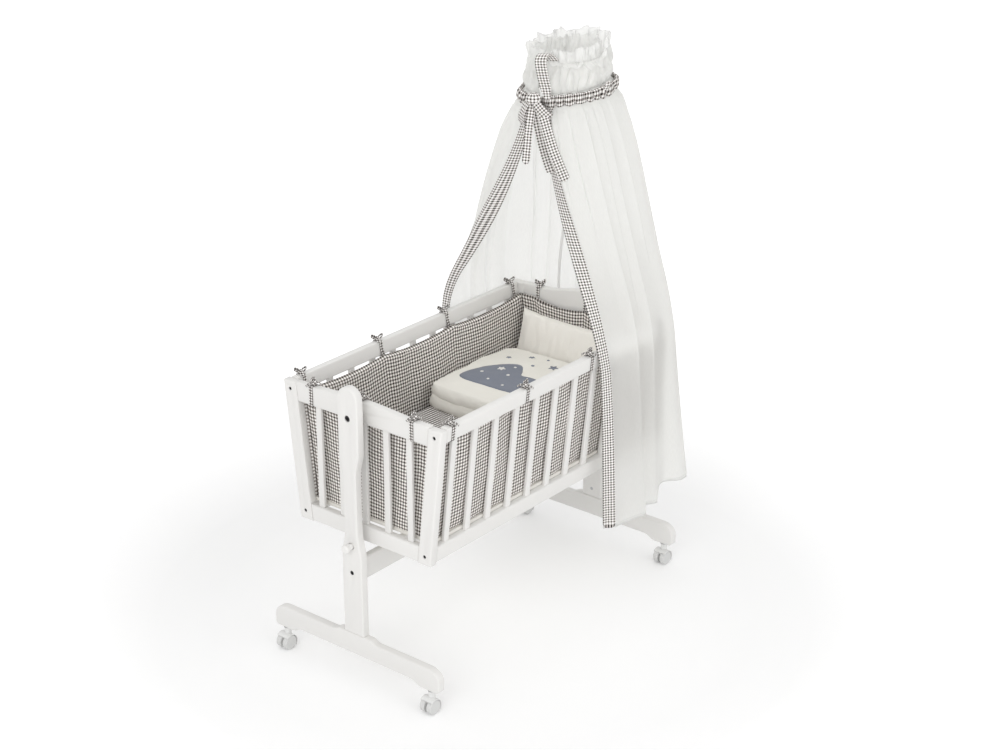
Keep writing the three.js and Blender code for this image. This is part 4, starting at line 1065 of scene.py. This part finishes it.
def drapePath(front, side, corner, back, backSide, bend):
    # The inside of the folds, from the right front edge round the head end: a point and the way out of there
    half = [Vector((front, side)), Vector((corner, side)), Vector((back, backSide))]
    turns = [Vector((place.x, -place.y)) for place in half] + half[::-1]
    points = [turns[0]]
    for before, turn, after in zip(turns, turns[1:], turns[2:]):
        arrive = turn + (before - turn).normalized() * bend
        leave = turn + (after - turn).normalized() * bend
        points += [arrive.lerp(turn, k / 12).lerp(turn.lerp(leave, k / 12), k / 12) for k in range(13)]
    points.append(turns[-1])
    runs = runLengths(points)

    def pointAt(t):
        i, share = whereAlong(runs, min(max(t, 0), 1) * runs[-1])
        return points[i - 1].lerp(points[i], share)

    def at(t):
        ahead = pointAt(t + 0.006) - pointAt(t - 0.006)
        return pointAt(t), Vector((ahead.y, -ahead.x)).normalized()

    return at


def canopyPaths(values):
    # The cloth's way round the head end at the shoulder and at the hem
    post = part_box("head_end_left_corner_post")[1]
    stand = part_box("head_end_stand_post")[1]
    clear, bend = values["clear"], values["cornerBend"]
    side, corner = post.y + clear, post.x + clear
    back, backSide = stand.x + clear, stand.y + clear
    shoulder = drapePath(values["shoulderFront"], side, corner, back, backSide, bend)
    hem = drapePath(values["hemFront"], side - values["hemDrawIn"], corner + values["hemFlare"],
                    back + values["hemSpread"], backSide + values["hemSpread"], bend)
    return shoulder, hem


shoulderPath, hemPath = canopyPaths(canopyValues)


def fromFront(place):
    # The distance from the nearer front edge, as a share of the way round
    return min(place, 1 - place)


def leftShare(place, values):
    return eased((place - values["leftStart"]) / values["leftEase"])


def foldShare(place, values):
    half = fromFront(place)
    for (low, before), (high, after) in zip(values["folds"], values["folds"][1:]):
        if half <= high:
            return mixed(before, after, (1 - math.cos(math.pi * (half - low) / (high - low))) / 2)
    return after


def pleatShare(place, level, values):
    # Pleats that rise gently, fall away steeply and end at different heights
    half = fromFront(place)
    found = 0
    for centre, strength, end in values["pleats"]:
        away = max((centre - half) / values["pleatRise"], (half - centre) / values["pleatFall"])
        share = eased((level - end) / values["pleatEnd"] + 1)
        found = max(found, strength * max(0, 1 - away) ** 1.4 * share)
    return found


def fineFolds(place, level, values):
    # Gathers below the band, pleats that fade towards the hem and a slow unevenness, all outwards
    gather = 0.5 + 0.5 * math.cos(2 * math.pi * values["gathers"] * place + 0.8 * math.sin(31 * place))
    gathered = eased((level - values["gatherStart"]) / (2 - values["gatherStart"]))
    slow = 0.5 + 0.5 * rough(place * 7, level * 1.2, 7.7)
    wandering = place + 0.006 * rough(place * 9, level * 1.5, 1.1)
    strength = mixed(values["pleatHem"], 1, eased(level / values["pleatFull"])) * (1 - 0.6 * gathered)
    start, stop = values["leftFoldSpan"]
    ease = values["leftFoldEase"]
    left = eased((wandering - start) / ease) * (1 - eased((wandering - stop) / ease))
    wave = 0.5 + 0.5 * math.sin(2 * math.pi * values["leftFolds"] * wandering)
    pleat = values["pleatDepth"] * pleatShare(wandering, level, values) + values["leftFold"] * left * wave
    loose = pleat * strength + values["wander"] * slow * (1 - gathered)
    return values["gatherDepth"] * gather * gathered + loose


def ringPoint(place, radius, lift, values):
    angle = math.radians(180 + values["opening"] + place * (360 - 2 * values["opening"]))
    hoopX, hoopY, _ = values["hoop"]
    x, y = hoopX + radius * math.cos(angle), hoopY + radius * math.sin(angle)
    return Vector((x, y, hoopLevel(x, y, values) + lift))


def swellShare(place, values):
    # How far the cloth swells out
    distance = fromFront(place)
    beside = math.sin(math.pi * min(distance / values["frontSwellWidth"], 1))
    full = values["swell"] * min(distance / values["swellStart"], 1) + values["frontSwell"] * beside
    return full * mixed(1, values["leftSwell"], leftShare(place, values))


def cornerShare(place, values):
    # Where the hem is held up: from behind the second pleat to past the corner, more gently on the left
    half = fromFront(place)
    rise = values["cornerRise"] if place < 0.5 else 4 * values["cornerRise"]
    past = eased((half - values["cornerStop"]) / values["cornerFall"])
    return eased((half - values["cornerStart"]) / rise) * (1 - past)


def edgeTurn(place, level, values):
    # The left front edge is drawn back and the cloth beside it stands out
    distance = (1 - place) / values["edgeWidth"]
    top, topEase, hemEase = values["edgeWindow"]
    window = eased((top - level) / topEase) * eased(level / hemEase)
    out = eased(distance) * (1 - eased((1 - place - values["edgeOut"]) / values["edgeOutEase"]))
    return values["edgeShift"] * max(0, 1 - distance) * window, values["edgeTurn"] * out * window


def dropPoint(place, level, fine, back, values):
    # Between the hem and the shoulder
    fold, half = foldShare(place, values), fromFront(place)
    turn, turnOut = shoulderPath(place)
    low, lowOut = hemPath(place)
    corner = eased(1 - abs(half - values["cornerAt"]) / values["cornerWidth"])
    low += lowOut * (values["foldHem"] * fold + fine + values["cornerReach"] * corner)
    point = low.lerp(turn + turnOut * (values["foldShoulder"] * fold + fine), level)
    early = (1 - level) ** 0.6 - (1 - level)
    forward = (values["hemFront"] - values["shoulderFront"]) * early
    point.x += back + forward * max(0, 1 - half / values["frontWidth"])
    lift = values["cornerLift"] * cornerShare(place, values) * (1 - level) ** 2
    return Vector((point.x, point.y, mixed(values["hem"], values["shoulder"], level) + lift))


def conePoint(place, level, fine, back, values):
    # Between the shoulder and the hoop
    fall = 2 - level
    turn, turnOut = shoulderPath(place)
    turn.x += back
    share = fall - values["frontSag"] * math.cos(math.pi * place) ** 4 * math.sin(math.pi * fall)
    rim = ringPoint(place, values["hang"], 0, values)
    radial = Vector((rim.x - values["hoop"][0], rim.y - values["hoop"][1])).normalized()
    outward = radial.lerp(turnOut, share).normalized()
    band = values["bandShare"]
    fold = mixed(values["foldHoop"], values["foldShoulder"], share) * foldShare(place, values)
    depth = (fold + fine) * eased((fall - band) / band)
    below = max(0, fall - band) / (1 - band)
    lower = values["leftLower"] * leftShare(place, values)
    depth += swellShare(place, values) * math.sin(math.pi * below ** (0.5 + lower))
    point = rim.xy.lerp(turn, share) + outward * depth
    return Vector((point.x, point.y, mixed(rim.z, values["shoulder"], fall)))


def stretchedPoint(place, level, values):
    # A point before the bend at the shoulder: level 0 is the hem, 1 the shoulder and 2 the hoop
    back, beside = edgeTurn(place, level, values)
    pointOf = dropPoint if level <= 1 else conePoint
    return pointOf(place, level, fineFolds(place, level, values) + beside, back, values)


def canopyPoint(place, level, values):
    bend = values["shoulderBend"]
    share = (level - 1 + bend) / (2 * bend)
    if not 0 < share < 1:
        return stretchedPoint(place, level, values)
    low, turn, high = [stretchedPoint(place, 1 + step, values) for step in (-bend, 0, bend)]
    return low.lerp(turn, share).lerp(turn.lerp(high, share), share)


def rufflePoint(place, share, inner, values):
    # The frill above the hoop: it puffs out over its neck, waves towards its rim and flops over in one place
    phase = 2 * math.pi * place
    x, y = math.cos(phase), math.sin(phase)
    broad = rough(x * 2.2, y * 2.2, 3 + inner * 2 + share)
    tucks = rough(x * 7, y * 7, 5 + inner * 3 + share * 2.2)
    crumple = rough(x * 17, y * 17, inner * 4 + share * 6)
    ridge = abs(math.sin(13 * phase + 2.2 * math.sin(3 * phase) + 3 * tucks + inner)) ** 0.7
    puff = math.sin(math.pi * min(share * 1.25, 1) ** 0.8)
    rim = values["ruffleRadius"] - inner * values["innerInset"]
    radius = mixed(values["neck"], rim, eased(share * 1.6))
    radius += values["rufflePuff"] * puff * (0.55 + 0.9 * tucks)
    radius -= values["tuckDepth"] * (1 - ridge) * (0.35 + 0.65 * share)
    wideBroad, wideTucks, wideCrumple = values["radiusWaves"]
    radius += (wideBroad * broad + wideTucks * tucks + wideCrumple * crumple) * share
    flop = eased((1 - abs(place - values["flopAt"]) / values["flopWidth"]) * 1.6) * (0.85 + 0.5 * tucks)
    over = max(0, share - values["flopShare"]) * flop * (1 - inner)
    radius += values["flopReach"] * over / (1 - values["flopShare"])
    height = (values["ruffle"] - values["neckLift"]) * (1 - inner * 0.1)
    highBroad, highTucks = values["heightWaves"]
    lift = values["neckLift"] + height * (share - values["flopDrop"] * over)
    return ringPoint(place, radius, lift + (highBroad * broad + highTucks * tucks) * share, values)


def crowdedPlaces(columns, values):
    # Columns stand closer together at the crests of the pleats
    fine = 5000
    runs = [0]
    for i in range(fine):
        half = fromFront(i / fine)
        near = any(abs(half - centre) < values["crowdWidth"] for centre, _, _ in values["pleats"])
        runs.append(runs[-1] + (values["crowding"] if near else 1))
    return [bisect.bisect_left(runs, runs[-1] * j / columns) / fine for j in range(columns + 1)]


def addCanopySheet(values):
    # Hem to hoop in two stretches, then the neck under the band and the frill above it
    drops, cones, ruffles = values["dropRows"], values["coneRows"], values["ruffleRows"]
    levels = [i / drops for i in range(drops)] + [1 + i / cones for i in range(cones + 1)]
    places = crowdedPlaces(values["columns"], values)
    rows = [[canopyPoint(place, level, values) for place in places] for level in levels]
    for lift, radius in values["neckRings"]:
        rows.append([ringPoint(place, radius, lift, values) for place in places])
    for i in range(ruffles + 1):
        rows.append([rufflePoint(place, i / ruffles, 0, values) for place in places])
    lengths = runLengths([row[values["columns"] // 2] for row in rows])
    sheet = gridPiece("canopy_sheet", rows, lambda i, j: (places[j] * values["clothWidth"], lengths[i]))
    applyModifier(sheet, "SOLIDIFY", thickness=values["thickness"], offset=0)
    return dress(sheet, "voile", nodes=["canopy_cloth"])


def addFrill(values):
    # The second layer of the frill, inside the first
    columns, steps = values["columns"], values["frillRows"]
    places = [j / columns for j in range(columns + 1)]
    rows = [[rufflePoint(place, i / steps, 1, values) for place in places] for i in range(steps + 1)]
    lengths = runLengths([row[columns // 2] for row in rows])
    piece = gridPiece("canopy_frill", rows, lambda i, j: (places[j] * values["clothWidth"], lengths[i] + 1))
    applyModifier(piece, "SOLIDIFY", thickness=values["thickness"], offset=0)
    return dress(piece, "ruffle", "voile")


canopy = addCanopySheet(canopyValues)
frill = addFrill(canopyValues)
print("canopy sheet made")


# Edge ribbons, band and bow

ribbonValues = {
    "width": 0.035, "off": 0.0016, "steps": 150, "across": 10, "rounding": 0.012, "top": 1.985, "reach": 0.08,
    "reachSteps": 16,
}


def edgePlaces(level, values, canopy):
    # Places at equal distances from the front edge
    steps, across = values["reachSteps"], values["across"]
    places = [values["reach"] * k / steps for k in range(steps + 1)]
    runs = runLengths([canopyPoint(place, level, canopy) for place in places])
    found = []
    for k in range(across + 1):
        i, share = whereAlong(runs, values["width"] * k / across)
        found.append(mixed(places[i - 1], places[i], share))
    return found


def addEdgeRibbon(name, fromStart, values, canopy):
    # A binding on both faces of the front edge, from the hoop to the hem
    across, width, rows = values["across"], values["width"], []
    for i in range(values["steps"] + 1):
        level = values["top"] * (1 - i / values["steps"])
        faces = {1: [], -1: []}
        for k, place in enumerate(edgePlaces(level, values, canopy)):
            rounded = values["rounding"] * (1 - math.sqrt(1 - abs(2 * k / across - 1) ** 3))
            lowest = rounded / (canopy["shoulder"] - canopy["hem"])
            at = lambda beside, above=0: canopyPoint(
                place + beside if fromStart else 1 - place - beside, max(level + above, lowest), canopy)
            point = at(0)
            normal = (at(0.002) - point).cross(at(0, 0.03) - at(0, -0.01)).normalized()
            for face in faces:
                faces[face].append(point + normal * values["off"] * face)
        rows.append(faces[-1][::-1] + faces[1])
    lengths = runLengths([row[0] for row in rows])

    def flat(i, j):
        inset = width * (1 - j / across) if j <= across else width * (j - across - 1) / across
        return inset, lengths[i]

    return dress(gridPiece(name, rows, flat), "ribbon", "gingham")


bandValues = {
    "height": 0.0165, "depth": 0.0095, "inner": 0.126, "columns": 620, "rows": 18, "turn": 1.16,
    "creases": 13, "creaseDepth": 0.013, "fineCreases": 71, "fineDepth": 0.0009, "uneven": 0.2,
    "thickness": 0.001, "clothLength": 1.2, "clothHeight": 0.04,
}


def bandPoint(phase, turn, values, canopy):
    # Phase goes round the hoop, turn from the band's lower edge over its outside to its upper edge
    bunched = 1.6 * math.sin(3 * phase) + 0.8 * math.sin(7 * phase) + 0.4 * math.sin(turn * 2)
    full = abs(math.sin(values["creases"] * phase + bunched)) ** 0.55
    small = math.sin(values["fineCreases"] * phase + 2 * math.sin(5 * phase) + turn)
    uneven = 1 + values["uneven"] * rough(math.cos(phase) * 6, math.sin(phase) * 6, 0.5)
    radius = values["inner"] + values["depth"] * math.cos(turn) * uneven + values["fineDepth"] * small
    radius -= values["creaseDepth"] * (1 - full) * math.cos(turn * 0.8)
    lift = values["height"] * math.sin(turn) * uneven * (0.72 + 0.28 * full)
    x, y = canopy["hoop"][0] + radius * math.cos(phase), canopy["hoop"][1] + radius * math.sin(phase)
    return Vector((x, y, hoopLevel(x, y, canopy) + lift))


def addBand(values, canopy):
    # The gathered gingham casing over the hoop
    columns, steps = values["columns"], values["rows"]
    turns = [math.pi * (i / steps - 0.5) * values["turn"] for i in range(steps + 1)]
    phases = [2 * math.pi * j / columns for j in range(columns)]
    rows = [[bandPoint(phase, turn, values, canopy) for phase in phases] for turn in turns]
    flat = lambda i, j: (j / columns * values["clothLength"], i / steps * values["clothHeight"])
    piece = gridPiece("canopy_band", rows, flat, around=True)
    applyModifier(piece, "SOLIDIFY", thickness=values["thickness"], offset=0)
    return dress(piece, "band", "gingham")


# The bow's controls are millimetres to the right, up and out from its knot
bowValues = {
    "at": (0.256, 0.036, 1.378), "facing": 39, "off": 0.003, "steps": 40, "freeSteps": 24, "tip": 0.05,
    "knot": (0.014, 0.021, 0.017), "knotOut": 0.01, "knotCloth": (0.09, 0.045), "loopOut": 0.006,
    "loops": (((-0.34, -0.94), 0.076, 0.036, 62), ((0.68, -0.73), 0.09, 0.036, 14)),
    "tails": {
        "leftTail": (0.021, ((-1, -2, 8), (-7, -40, 20), (-13, -90, 30), (-16, -125, 38), (-20, -169, 45))),
        "rightTail": (0.028, ((8, -4, 10), (26, -48, 22), (48, -115, 40), (70, -168, 52), (84, -200, 60))),
        "backTail": (0.024, ((2, -6, 4), (10, -55, 16), (27, -130, 30), (48, -190, 40))),
    },
    "upStrip": (0.03, ((36, -2, -8), (33, 20, -4), (24, 58, 2), (18, 98, 6), (26, 116, 0), (40, 108, -12),
                       (52, 92, -20))),
    "endTie": (0.011, ((0.385, -0.1, 1.392), (0.386, -0.107, 1.404), (0.388, -0.108, 1.418))),
    "endTieSide": (0.6, -0.8, 0.2),
}


def liftedOff(points, sides, widths, trees, out, off):
    # Moves a strip's points out until the cloth is behind them
    pushes = []
    for point, side, width in zip(points, sides, widths):
        push = 0
        for place in (point, point + side * width * 0.4, point - side * width * 0.4):
            for tree in trees:
                found = tree.ray_cast(place + out * 0.2, -out)[0]
                if found is not None:
                    push = max(push, (found - place).dot(out) + off)
        pushes.append(push)
    high = [max(pushes[max(i - 2, 0):i + 3]) for i in range(len(pushes))]
    near = [high[max(i - 2, 0):i + 3] for i in range(len(high))]
    return [point + out * (sum(some) / len(some)) for point, some in zip(points, near)]


def bowStrip(name, strip, knot, axes, level, trees, values):
    # A tail ends in a point. A level strip keeps its width level and leaves the cloth in its upper part.
    width, controls = strip
    right, _, out = axes
    steps = values["steps"]
    places = [sum((axis * share for axis, share in zip(axes, control)), Vector()) for control in controls]
    points = curvePoints([knot + place * 0.001 for place in places], steps)
    sides, widths = [], []
    for i in range(steps + 1):
        ahead = (points[min(i + 1, steps)] - points[max(i - 1, 0)]).normalized()
        sides.append(right if level else ahead.cross(out).normalized())
        pointed = min(0.35 + i / 10, 0.1 + (1 - i / steps) / values["tip"])
        widths.append(width * min(1, 0.5 + i / 16 if level else pointed))
    free = values["freeSteps"] if level else steps + 1
    points = liftedOff(points[:free], sides, widths, trees, out, values["off"]) + points[free:]
    return ribbon(name, points, sides, widths)


def addCanopyBow(values, cloths):
    depsgraph = bpy.context.evaluated_depsgraph_get()
    trees = [BVHTree.FromObject(cloth, depsgraph) for cloth in cloths]
    turn = math.radians(values["facing"])
    out = Vector((-math.cos(turn), -math.sin(turn), 0))
    axes = (Vector((math.sin(turn), -math.cos(turn), 0)), Vector((0, 0, 1)), out)
    knot = Vector(values["at"])
    pieces = []
    for number, (way, length, width, twist) in enumerate(values["loops"]):
        direction = towards(axes, way)
        across = direction.cross(out).normalized()
        twist = math.radians(twist)
        bulge = out * math.cos(twist) + across * math.sin(twist)
        side = across * math.cos(twist) - out * math.sin(twist)
        root = knot + out * values["loopOut"]
        pieces.append(bowLoop(f"bowLoop{number}", root, direction, bulge, side, length, width))
    for name, tail in values["tails"].items():
        pieces.append(bowStrip(name, tail, knot, axes, False, trees, values))
    pieces.append(bowStrip("upStrip", values["upStrip"], knot, axes, True, trees, values))
    width, controls = values["endTie"]
    ends = curvePoints(controls, 8)
    side = Vector(values["endTieSide"]).normalized()
    pieces.append(ribbon("endTie", ends, [side] * len(ends), [width] * len(ends)))
    centre = knot + out * values["knotOut"]
    pieces.append(ball("bowKnot", centre, values["knot"], values["knotCloth"], (28, 16), turn))
    return dress(joined(pieces, "canopy_bow"), "ribbon", "gingham")


trims = [
    addEdgeRibbon("right_edge_ribbon", True, ribbonValues, canopyValues),
    addEdgeRibbon("left_edge_ribbon", False, ribbonValues, canopyValues),
    frill,
    addBand(bandValues, canopyValues),
]
trims.append(addCanopyBow(bowValues, [canopy, *trims]))
for trim in trims:
    trim.parent = canopy
print("canopy trimmed")
